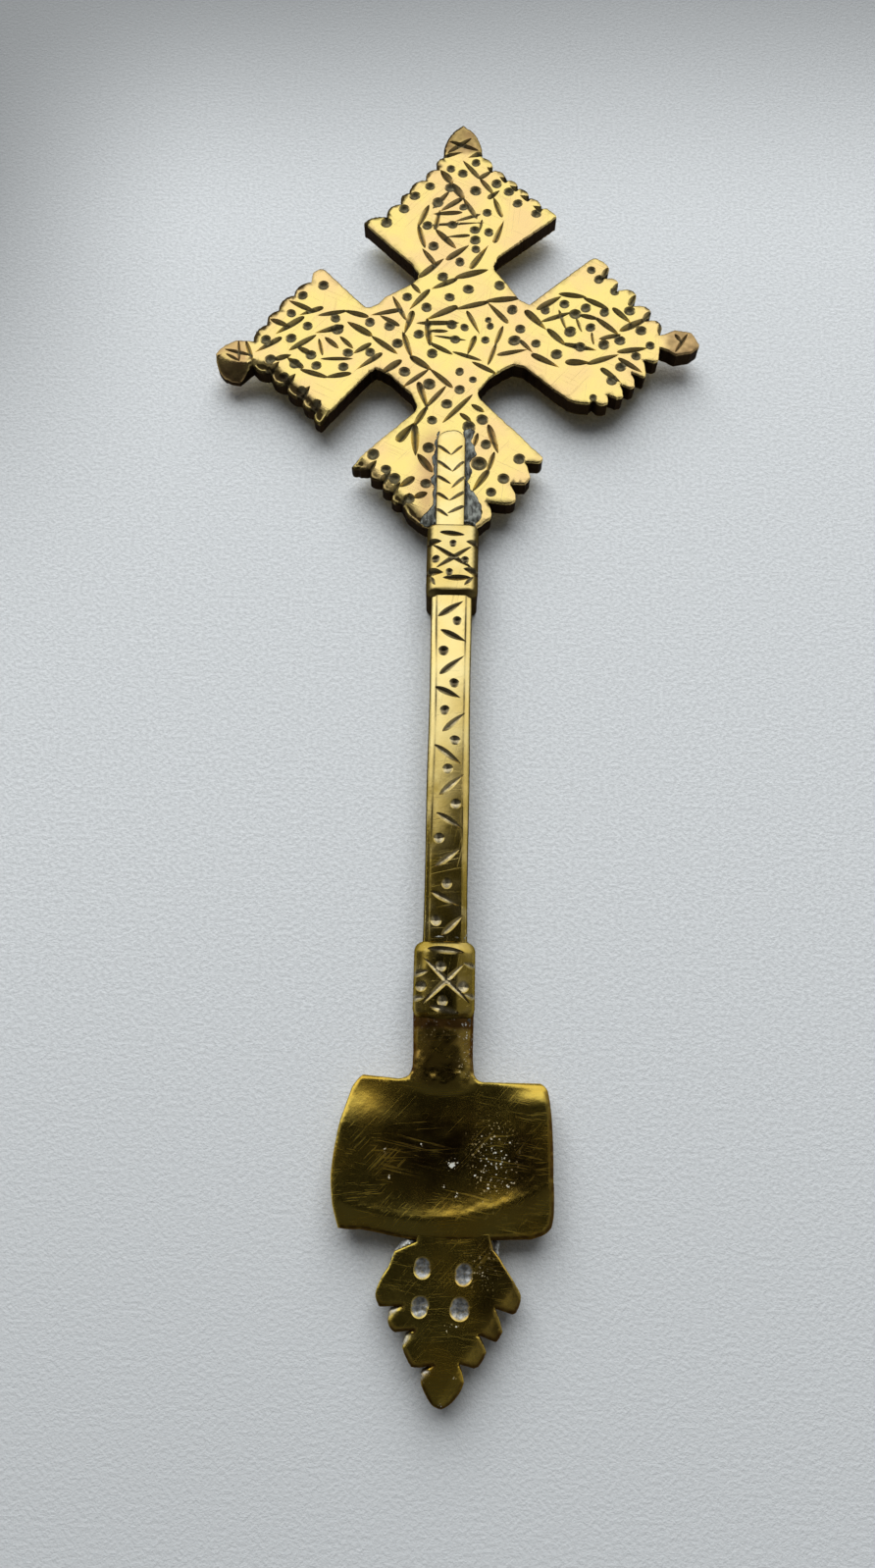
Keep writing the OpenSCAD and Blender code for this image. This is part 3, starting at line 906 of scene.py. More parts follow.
@dataclass
class CrossHead(Part):
    """The serrated plate cross: hand-cut outline, filed bevels, three finials and engraving."""

    front_height: float = 6.3
    back_height: float = 2.7
    edge_spacing: float = 0.4
    rounding: float = 0.32
    waviness: float = 0.02
    lip_inset: float = 0.42
    lip_width: float = 0.2
    right_arm: Rows = (
        (10.2, 58.3, 0), (12.0, 57.9, 0), (15.0, 55.3, 0), (17.5, 53.0, 0), (20.0, 51.0, 0.1),
        (22.0, 50.3, 0), (24.1, 50.1, 0), (24.7, 51.0, 0), (25.3, 50.2, 0.1), (26.6, 50.0, 0.15),
        (27.5, 50.6, 0.1), (27.4, 52.1, 0), (29.0, 51.3, 0.15), (30.2, 51.8, 0.2), (29.8, 54.4, 0),
        (31.5, 53.6, 0.15), (32.5, 54.2, 0.2), (31.9, 57.0, 0), (34.0, 56.0, 0.05), (34.5, 56.4, 0.2),
        (34.2, 59.9, 0), (36.0, 59.4, 0.1), (36.9, 59.8, 0.1), (37.3, 62.6, 0), (38.0, 62.3, 0),
        (40.3, 61.1, 0), (43.0, 61.7, 0), (44.6, 63.0, 0), (44.75, 63.8, 0), (43.4, 66.4, 0),
        (40.2, 66.9, 0), (38.2, 65.9, 0), (37.2, 65.6, 0.2), (37.9, 67.5, 0.3), (36.6, 69.0, 0.1),
        (34.8, 68.7, 0.2), (36.0, 70.6, 0.3), (34.6, 72.2, 0.1), (32.3, 72.0, 0.3), (33.3, 74.6, 0.3),
        (31.7, 75.9, 0.1), (29.6, 75.5, 0.15), (30.0, 77.4, 0.2), (28.8, 78.4, 0.1), (26.9, 78.2, 0.2),
        (28.4, 80.3, 0.2), (27.6, 81.8, 0.2), (25.8, 83.0, 0.15), (24.6, 82.5, 0), (22.0, 80.2, 0),
        (13.1, 72.0, 0), (11.2, 73.2, 0), (9.0, 76.6, 0), (6.5, 79.9, 0.1), (6.4, 80.6, 0.1),
        (7.0, 82.4, 0))
    top_arm: Rows = (
        (18.5, 92.4, 0.1), (18.2, 93.2, 0.1), (16.6, 94.7, 0), (15.6, 94.7, 0.75), (13.2, 97.2, 0.7),
        (11.0, 99.4, 0.75), (8.9, 101.4, 0.8), (6.0, 103.8, 0.8), (4.2, 106.9, 0), (3.95, 107.0, 1.35),
        (0.1, 114.97, 1.35), (-3.7, 107.0, 0), (-3.6, 106.9, 0.8), (-4.9, 103.8, 0.85), (-7.2, 101.1, 0.9),
        (-10.3, 97.9, 0.8), (-11.8, 95.2, 0.9), (-14.5, 92.0, 0.6), (-18.7, 90.5, 0.3), (-18.2, 89.6, 0),
        (-8.9, 80.3, 0.1), (-7.9, 78.6, 0.1), (-8.0, 77.6, 0), (-9.2, 76.3, 0), (-10.0, 75.8, 0),
        (-14.0, 73.3, 0), (-15.3, 71.6, 0), (-17.0, 70.8, -0.1), (-18.4, 71.5, 0))
    left_arm: Rows = (
        (-25.6, 79.1, 0.1), (-26.5, 79.5, 0.1), (-27.9, 78.6, 0.1), (-28.2, 76.3, 0.8), (-31.3, 73.2, 0.85),
        (-34.0, 69.7, 0.8), (-36.0, 66.4, 0.8), (-38.2, 62.7, 0), (-41.3, 62.8, 0.1), (-43.6, 61.5, 0.1),
        (-45.0, 59.7, 0.1), (-44.7, 57.6, 0.1), (-43.2, 55.6, 0.1), (-40.4, 55.0, 0), (-38.1, 57.5, 0.6),
        (-34.8, 56.0, 0.8), (-31.6, 53.3, 0.8), (-28.7, 50.6, 0.7), (-26.2, 48.0, 0.6), (-25.0, 45.2, 0.1),
        (-24.0, 46.3, 0), (-16.2, 56.3, 0.1), (-15.2, 57.0, -0.1), (-12.5, 55.5, 0), (-9.8, 52.7, 0),
        (-8.5, 51.5, 0), (-7.5, 49.2, -0.1), (-7.8, 48.0, 0))
    foot_arm: Rows = (
        (-16.0, 39.8, 0), (-18.9, 36.6, 0.3), (-17.6, 36.0, 0.2), (-15.6, 35.9, 0), (-15.4, 34.2, 0.3),
        (-13.0, 33.6, 0), (-13.3, 32.0, 0.3), (-11.3, 31.3, 0), (-11.5, 29.7, 0.3), (-9.7, 28.9, 0),
        (-9.0, 27.6, 0.2), (-7.8, 26.0, 0.2), (-5.0, 24.0, 0), (-3.4, 23.0, 0), (-3.2, 18.0, 0),
        (2.4, 18.0, 0), (2.6, 23.0, 0), (4.0, 24.3, 0.1), (5.5, 25.6, 0.1), (6.3, 26.2, 0.3),
        (5.7, 29.3, 0), (8.5, 29.0, 0.1), (10.0, 29.2, 0.3), (10.7, 30.9, 0.1), (9.7, 33.1, 0),
        (12.3, 33.1, 0.1), (13.3, 34.7, 0.1), (13.0, 36.0, 0.1), (12.3, 37.6, 0), (14.8, 37.5, 0.1),
        (15.5, 38.5, 0.1), (15.2, 39.2, 0), (10.0, 44.8, 0), (5.0, 50.0, 0), (4.2, 51.0, -0.1),
        (3.7, 52.1, -0.1), (4.2, 53.0, 0), (5.8, 55.3, 0), (8.5, 57.3, 0))
    pits: Rows = (
        (-2.2, 103.8, 1.0), (0.15, 102.7, 1.0), (2.7, 105.4, 1.0), (-6.2, 99.4, 1.05), (-9.1, 97.0, 1.1),
        (-11.1, 93.8, 1.1), (-14.4, 90.4, 1.2), (-2.3, 99.1, 1.0), (2.7, 98.5, 1.2), (-4.6, 95.5, 1.2),
        (0.45, 94.5, 0.9), (5.0, 93.2, 1.0), (6.8, 100.3, 1.05), (9.2, 98.4, 1.05), (10.9, 95.6, 1.05),
        (14.5, 93.2, 1.1), (-6.5, 89.9, 1.0), (-1.65, 90.2, 1.0), (2.65, 89.0, 1.0), (5.35, 88.5, 1.0),
        (2.76, 86.6, 1.05), (-5.2, 85.0, 1.05), (2.9, 84.4, 0.9), (-0.1, 81.4, 1.0), (-3.3, 77.9, 1.05),
        (7.5, 76.1, 1.15), (1.6, 75.1, 1.1), (-1.9, 73.2, 1.0), (-9.9, 73.1, 1.0), (-6.2, 70.8, 1.1),
        (9.9, 70.6, 1.1), (5.4, 68.2, 0.65), (5.8, 66.8, 0.75), (1.0, 66.4, 0.85), (-1.4, 67.0, 1.0),
        (-0.7, 63.7, 0.9), (4.9, 63.7, 0.8), (-7.5, 64.7, 1.1), (11.4, 66.3, 1.1), (10.3, 63.7, 1.2),
        (14.3, 63.1, 1.0), (18.1, 60.8, 1.1), (-4.9, 60.5, 1.0), (-9.9, 56.4, 1.15), (0.24, 56.6, 0.9),
        (2.7, 54.9, 0.75), (-5.3, 53.8, 1.2), (0.3, 52.7, 1.0), (-2.0, 49.6, 1.1), (-4.6, 46.1, 1.0),
        (-25.8, 75.4, 1.1), (-29.6, 73.0, 1.0), (-31.5, 68.9, 1.0), (-23.2, 68.0, 1.0), (-28.3, 66.1, 1.0),
        (-16.7, 67.2, 1.0), (-13.0, 66.4, 1.1), (-31.2, 63.3, 1.1), (-35.9, 62.9, 1.0), (-11.4, 62.6, 1.05),
        (-22.7, 65.5, 1.1), (-27.3, 59.7, 1.0), (-20.5, 60.3, 1.0), (-16.4, 60.5, 1.0), (-26.2, 57.4, 1.0),
        (-21.2, 57.2, 1.0), (-34.8, 58.6, 1.1), (-30.2, 57.7, 1.1), (-32.1, 55.0, 1.0), (-28.7, 51.9, 1.05),
        (-25.8, 49.1, 1.05), (24.9, 80.0, 0.95), (26.3, 77.9, 1.0), (29.2, 75.2, 1.0), (19.7, 72.1, 1.05),
        (23.7, 71.3, 1.0), (16.1, 70.6, 1.0), (21.7, 69.9, 1.1), (27.2, 70.4, 1.0), (31.9, 70.8, 1.05),
        (20.7, 65.9, 1.25), (24.5, 66.9, 1.0), (33.9, 66.4, 1.05), (22.5, 62.5, 1.2), (26.9, 63.1, 1.1),
        (29.9, 64.1, 1.1), (35.5, 63.1, 0.95), (32.8, 60.7, 0.95), (29.9, 58.3, 1.05), (28.2, 55.3, 1.05),
        (24.7, 51.5, 0.8), (4.5, 46.4, 1.1), (2.1, 44.8, 1.2), (5.2, 41.2, 1.1), (4.0, 37.2, 1.4),
        (11.2, 38.3, 1.1), (8.4, 34.2, 1.05), (6.2, 31.4, 0.95), (3.7, 27.3, 1.0), (-5.1, 40.3, 1.1),
        (-15.0, 38.7, 1.15), (-12.6, 35.7, 1.0), (-11.0, 33.8, 1.1), (-5.4, 32.9, 1.0), (-8.2, 29.8, 1.0))
    top_strokes: Rows = (
        (-4.1, 103.3, -2.0, 100.4, 1.2, 0.6), (-1.9, 100.1, 0.35, 96.7, 1.2, 0.5),
        (0.3, 105.7, 3.4, 101.6, 0.8, 0.6), (3.6, 101.4, 6.1, 97.9, 0.8, 0.5),
        (3.6, 101.7, 5.9, 103.5, 0.8, 0.3), (5.2, 96.7, 7.3, 98.6, 0.85, 0.3),
        (6.3, 96.7, 7.8, 92.4, 0.9, 0.6), (8.15, 91.1, 6.5, 86.3, 0.9, 0.75),
        (-6.4, 94.6, -8.2, 89.8, 0.9, 0.5), (-8.2, 89.8, -6.9, 84.8, 0.9, 0.5),
        (-7.2, 84.2, -4.8, 80.7, 0.8, 0.6), (-2.6, 98.0, -5.4, 94.2, 0.8, 0.5),
        (0.2, 96.7, -3.8, 93.6, 0.9, 0.4), (0.35, 96.6, 2.9, 92.0, 0.8, 0.6),
        (-5.2, 92.7, -0.1, 93.2, 0.8, 0.6), (3.4, 92.7, -1.0, 91.1, 0.6, 0.4),
        (-4.2, 93.5, -5.0, 89.2, 0.8, 0.7), (-5.0, 90.1, 4.0, 90.8, 0.5, 0.3),
        (4.0, 91.4, 3.6, 89.0, 0.5, 0.5), (-2.6, 87.3, 1.5, 87.7, 0.6, 0.7),
        (-4.7, 88.8, -1.1, 84.8, 1.0, 0.5), (-2.5, 82.0, 1.4, 85.2, 1.0, 0.35),
        (2.1, 80.2, 5.1, 85.1, 1.0, 0.25), (-7.6, 77.8, -3.4, 81.9, 1.0, 0.4),
        (-2.7, 108.0, 1.5, 111.4, 0.8, 0.5), (-2.4, 110.7, 2.9, 108.6, 0.8, 0.5))
    middle_strokes: Rows = (
        (-9.2, 76.2, -7.5, 74.1, 0.7, 0.5), (-5.1, 75.2, -0.7, 77.4, 0.9, 0.6),
        (-0.7, 77.8, 5.0, 79.6, 1.1, 0.45), (-5.9, 74.7, -9.2, 70.5, 0.9, 0.35),
        (-12.5, 73.0, -10.1, 68.1, 0.75, 0.55), (-16.3, 68.9, -11.0, 70.2, 0.8, 0.65),
        (-14.7, 68.7, -11.3, 66.6, 0.8, 0.6), (-8.8, 69.7, -10.1, 64.9, 1.0, 0.3),
        (-10.4, 64.9, -8.8, 59.9, 0.85, 0.5), (-8.8, 59.7, -5.1, 57.0, 1.1, 0.4),
        (-5.1, 57.0, -1.2, 53.3, 0.85, 0.6), (-5.7, 56.8, -9.8, 53.3, 0.75, 0.5),
        (-10.7, 58.8, -14.2, 56.0, 1.1, 0.4), (-0.7, 71.0, -6.0, 68.1, 1.1, 0.3),
        (-0.7, 70.5, 5.2, 72.2, 0.9, 0.6), (5.2, 72.5, 11.2, 73.3, 1.0, 0.5),
        (5.3, 72.1, 8.9, 67.8, 0.85, 0.7), (-7.6, 67.2, -0.4, 67.4, 0.8, 0.5),
        (-6.0, 68.0, -5.4, 62.5, 1.0, 0.5), (-5.4, 62.8, -1.3, 60.5, 0.75, 0.5),
        (-5.4, 65.5, -2.2, 65.5, 0.6, 0.5), (-4.4, 64.4, 1.1, 63.6, 0.45, 0.5),
        (1.5, 69.9, 3.7, 65.3, 0.7, 0.35), (3.0, 64.4, 1.7, 60.6, 0.85, 0.35),
        (-0.9, 60.9, 4.0, 59.2, 0.65, 0.5), (2.7, 58.7, 6.8, 56.4, 0.75, 0.5),
        (8.1, 66.7, 6.8, 62.8, 0.75, 0.5), (6.9, 62.8, 5.5, 58.4, 0.7, 0.5),
        (7.4, 60.5, 12.5, 61.7, 0.75, 0.35), (11.4, 63.7, 13.6, 61.2, 0.7, 0.3),
        (13.7, 60.6, 18.3, 58.1, 1.0, 0.3))
    left_strokes: Rows = (
        (-31.9, 71.7, -27.7, 69.6, 0.85, 0.6), (-25.8, 70.3, -29.8, 68.6, 0.85, 0.3),
        (-26.2, 68.6, -21.2, 69.7, 0.75, 0.5), (-21.4, 69.7, -17.2, 68.5, 0.9, 0.6),
        (-35.2, 67.5, -32.1, 66.1, 0.9, 0.5), (-29.3, 68.0, -33.9, 64.4, 1.0, 0.35),
        (-33.2, 63.3, -37.4, 60.3, 0.9, 0.3), (-26.8, 64.0, -31.2, 60.8, 0.9, 0.5),
        (-29.9, 61.4, -27.4, 60.0, 0.9, 0.6), (-26.5, 64.7, -21.8, 66.2, 1.0, 0.7),
        (-20.7, 67.1, -16.4, 64.3, 1.1, 0.6), (-25.2, 58.9, -19.8, 59.0, 0.6, 0.5),
        (-19.3, 60.3, -16.4, 62.4, 0.85, 0.6), (-18.5, 56.9, -14.4, 60.2, 0.85, 0.7),
        (-16.0, 63.9, -11.6, 60.5, 0.9, 0.5), (-31.5, 58.9, -28.7, 56.9, 1.0, 0.6),
        (-33.9, 58.6, -31.1, 59.6, 0.9, 0.4), (-28.9, 56.4, -24.2, 54.9, 0.85, 0.5),
        (-24.2, 54.9, -19.9, 55.8, 0.85, 0.6), (-26.0, 63.2, -25.2, 59.8, 0.6, 0.5),
        (-24.8, 63.6, -22.4, 61.4, 0.8, 0.5), (-22.0, 63.8, -19.7, 61.4, 0.7, 0.5),
        (-40.9, 62.4, -40.5, 58.2, 0.5, 0.5), (-39.5, 62.4, -38.1, 58.6, 0.65, 0.5),
        (-43.1, 60.6, -38.3, 59.4, 0.6, 0.5), (-42.9, 59.6, -40.6, 58.2, 0.5, 0.5))
    right_strokes: Rows = (
        (14.7, 70.9, 18.9, 73.7, 1.0, 0.4), (18.9, 74.4, 23.6, 73.8, 0.9, 0.45),
        (23.5, 73.5, 27.7, 71.3, 0.9, 0.5), (12.5, 70.3, 16.1, 66.4, 1.15, 0.3),
        (15.5, 68.1, 20.5, 70.1, 0.75, 0.5), (18.7, 70.6, 19.9, 66.6, 0.6, 0.5),
        (22.5, 69.7, 25.8, 68.9, 0.8, 0.5), (25.5, 69.1, 29.4, 65.7, 0.9, 0.5),
        (21.9, 68.9, 22.8, 66.0, 0.5, 0.5), (24.7, 65.7, 25.0, 63.2, 0.5, 0.5),
        (16.6, 66.3, 19.7, 62.9, 1.0, 0.4), (19.6, 63.1, 25.2, 61.9, 0.85, 0.4),
        (28.9, 71.3, 31.9, 68.2, 0.9, 0.35), (35.2, 69.2, 30.2, 66.4, 1.1, 0.6),
        (29.9, 65.4, 26.2, 64.4, 0.75, 0.5), (29.6, 61.6, 34.7, 62.5, 0.9, 0.4),
        (19.9, 59.1, 24.0, 59.1, 1.1, 0.35), (24.0, 58.9, 29.3, 60.9, 0.9, 0.4),
        (29.7, 60.1, 33.6, 57.3, 0.85, 0.4), (26.4, 57.8, 29.7, 55.0, 0.9, 0.3),
        (40.2, 65.7, 41.2, 64.2, 0.6, 0.5), (42.4, 65.7, 40.2, 62.0, 0.6, 0.5))
    foot_strokes: Rows = (
        (-7.2, 53.9, -5.5, 48.5, 1.0, 0.3), (-2.4, 53.2, -5.7, 48.9, 0.75, 0.5),
        (-5.7, 48.8, -7.7, 45.0, 0.9, 0.5), (-7.7, 45.0, -7.4, 38.9, 1.15, 0.4),
        (-8.0, 45.3, -10.6, 41.7, 1.3, 0.75), (2.4, 51.4, -2.4, 45.9, 0.8, 0.5),
        (2.6, 49.5, 4.7, 48.1, 0.8, 0.5), (0.5, 47.6, 2.4, 46.0, 0.75, 0.5),
        (5.7, 45.1, 7.3, 39.7, 1.0, 0.4), (3.7, 43.4, 3.0, 40.7, 0.7, 0.5),
        (6.7, 39.5, 5.6, 35.7, 0.75, 0.5), (5.6, 35.7, 3.0, 31.6, 1.0, 0.35),
        (-6.9, 38.8, -4.4, 35.4, 1.1, 0.5), (-7.6, 34.1, -9.9, 32.2, 1.1, 0.4),
        (-5.2, 31.0, -7.3, 30.1, 1.0, 0.5))
    notch_cuts: Rows = (
        (-35.4, 55.3, -33.2, 58.0, 1.3, 0.3), (-32.1, 52.7, -30.0, 55.4, 1.3, 0.3),
        (-29.2, 50.0, -27.2, 52.8, 1.3, 0.3), (-26.6, 47.5, -25.0, 49.8, 1.2, 0.3),
        (-15.9, 35.4, -14.4, 37.4, 1.1, 0.3), (-13.3, 33.1, -11.8, 35.3, 1.1, 0.3),
        (-11.6, 30.8, -10.0, 33.0, 1.1, 0.3), (-10.0, 28.5, -8.3, 30.8, 1.1, 0.3),
        (-3.6, 106.9, 0.0, 108.0, 0.8, 0.2), (1.2, 106.7, 3.9, 107.9, 1.0, 0.8),
        (4.9, 104.4, 6.1, 103.4, 0.9, 0.8), (7.4, 102.0, 8.9, 101.0, 1.0, 0.8),
        (9.4, 99.9, 10.9, 98.9, 0.9, 0.8), (11.4, 97.6, 13.2, 96.6, 1.0, 0.8),
        (13.9, 95.1, 15.6, 94.1, 1.0, 0.8), (28.0, 80.6, 27.0, 78.2, 0.9, 0.6),
        (30.0, 77.2, 29.0, 75.3, 0.8, 0.6), (33.0, 74.4, 31.9, 72.1, 0.9, 0.6),
        (35.9, 70.6, 34.3, 68.9, 0.9, 0.4), (37.6, 68.2, 37.2, 65.9, 0.7, 0.5))

    def marks(self) -> Engraving:
        """Gathers the engraving of all arms."""
        strokes = (self.notch_cuts + self.top_strokes + self.middle_strokes + self.left_strokes
                   + self.right_strokes + self.foot_strokes)
        return Engraving(self.pits, strokes, stroke_depth=0.52, widen=1.38, stretch=1.12)

    @property
    def rows(self) -> Array:
        """Gathers the outline of all arms."""
        return np.array(self.right_arm + self.top_arm + self.left_arm + self.foot_arm)

    @cached_property
    def ring(self) -> Array:
        """Walks round the outline of all arms, and files it a little uneven."""
        ring = trace(self.rows, self.edge_spacing)
        return ring - outward(ring) * np.abs(0.09 * ripple(ring, 1.5, 11))[:, None]

    def rims(self) -> Array:
        """Gives the painted shade along the rim: darkest on lobes that face left, plain where they face
        down.
        """
        edge, _ = walk(self.rows, self.edge_spacing)
        plain = self.bevels(self.ring) < 0.05
        left = 1.7 * plain * facing(self.ring, (-1.0, 0.0), 0.0)
        dark = np.maximum(facing(self.ring, (-0.2, 1.0), 0.0), left)
        return np.where(self.rows[edge, 2] > 0.25, 1.0, 0.2) * dark

    def lower_facet(self, points: Array) -> Array:
        """Gives the way past the ridge of the left finial, below which it is filed steep."""
        corner = (-42.0, 57.7)
        ridge = past_line(points, (-44.6, 59.5), corner)
        under = np.maximum(ridge, past_line(points, corner, (-37.9, 57.7)))
        return np.where(points[:, 0] < -38.2, under, 0.0)

    def bevels(self, points: Array) -> Array:
        """Gives how far two bevels fall: over the left arm's lower teeth and the foot's left ones."""
        x, y = points.T
        bend = (-32.6, 57.3)
        left = np.minimum(past_line(points, (-37.6, 58.9), bend), past_line(points, bend, (-23.4, 48.2)))
        left = np.where((x > -38.2) & (x < -20.0), left, 0.0)
        foot = np.where((x < -5.5) & (y < 42.0), past_line(points, (-16.5, 38.4), (-7.4, 28.9)), 0.0)
        return np.minimum(0.34 * left, 1.4) + np.minimum(0.33 * foot, 1.3)

    def lips(self) -> tuple[Array, ...]:
        """Gives lines inside the bevelled teeth and the top finial, for the triangles to follow."""
        along = (self.bevels(self.ring) > 0.1) | (self.ring[:, 1] > 107.0)
        return tuple((self.ring - outward(self.ring) * d)[along] for d in (0.12, 0.25, 0.4, 0.6, 0.85, 1.15))

    def lip(self, points: Array) -> Array:
        """Gives 1 on the burred lip a little inside the outline, falling off to both sides as a bell."""
        gap, _ = edge_distance(points, self.ring)
        return np.exp(-((gap - self.lip_inset) / self.lip_width) ** 2)

    def face(self, points: Array) -> Array:
        """Gives the height of the face: hand waviness, two bevels with burred lips, and the finials."""
        x, y = points.T
        fall = self.bevels(points)
        teeth = np.flatnonzero(fall > 0.05)
        fall[teeth] -= 0.16 * ramp(fall[teeth], 0.3, 0.7) * self.lip(points[teeth])
        fall += np.minimum(0.95 * self.lower_facet(points), 2.2)
        top = np.flatnonzero((y > 107.3) & (np.abs(x) < 5.0))
        gap, _ = edge_distance(points[top], self.ring)
        fall[top] += 0.6 * np.maximum(0.0, 0.9 - gap) * (1.0 - ramp(y[top], 110.0, 114.0))
        fall += 0.15 * ramp(x, 41.0, 45.0)
        return self.front_height - fall + self.waviness * ripple(points, 14.0, 8)

    def under(self, points: Array) -> Array:
        """Gives the height of the plain back, filed flat by hand."""
        return self.back_height + 0.03 * ripple(points, 11.0, 9)

    def heat_tint_and_shade(self, points: Array) -> Array:
        """Gives the tint left by soldering, strongest left of the tongue, and painted shade in brown on the
        finials.
        """
        x, y = points.T
        left = 0.65 * ramp(x, -8.0, -4.0) * ramp(-x, 2.0, 3.5) * ramp(-y, -46.0, -41.0)
        right = 0.3 * ramp(-x, -6.0, -3.5) * (x > 0.0) * ramp(-y, -33.0, -29.0)
        tips = 0.6 * ramp(y, 107.2, 108.6) + 0.7 * ramp(-x, 38.4, 39.2) + 0.6 * ramp(x, 38.4, 39.8)
        return np.clip(left + right + tips, 0.0, 1.0)

    def flux(self, points: Array) -> Array:
        """Gives a dark band beside the tongue, of burnt flux and painted shade: narrow, and wider at its
        foot.
        """
        beside = np.abs(points[:, 0] + 0.4) - 2.2
        band = 1.6 + 1.4 * ramp(-points[:, 1], -30.0, -26.0)
        return 1.25 * (1.0 - ramp(beside, 0.2 * band, band)) * ramp(-points[:, 1], -43.5, -41.0)

    def painted_shade(self, points: Array) -> Array:
        """Gives painted shade: on the bevels inside their lips, thinner on the finials, and on the left
        finial's lower facet.
        """
        x, y = points.T
        bevel = 1.4 * ramp(self.bevels(points), 0.1, 0.4)
        some = np.flatnonzero(bevel > 0.0)
        bevel[some] *= 1.0 - self.lip(points[some])
        tips = np.maximum(0.35 * ramp(y, 107.2, 108.2), 0.3 * ramp(x, 38.4, 39.4))
        return np.maximum.reduce([bevel, tips, 0.55 * ramp(self.lower_facet(points), 0.2, 1.2)])

    def build(self) -> list[Piece]:
        """Builds and dresses the plate."""
        skin = Relief(self.ring, self.face, self.under, self.marks(), self.lips(), rounding=self.rounding,
                      rim=self.rims(), rim_width=0.55).skin()
        plan = skin.points[:, :2]
        # Heat tint near the tongue, and painted shade in brown on the finials; beside the tongue, burnt flux
        # with painted shade.
        skin.wear[WearAndShade.STAIN_AND_SHADE] = self.heat_tint_and_shade(plan)
        skin.wear[WearAndShade.RESIDUE] = self.flux(plan)
        # Walls fully dark with tarnish and painted shade, and painted shade on bevels and finials.
        skin.wear[WearAndShade.WALL] *= 1.4
        skin.wear[WearAndShade.RIM_SHADE] = np.maximum(skin.wear[WearAndShade.RIM_SHADE], self.painted_shade(plan))
        return [self.settle(skin.piece("engraved_head"), "cross_head")]


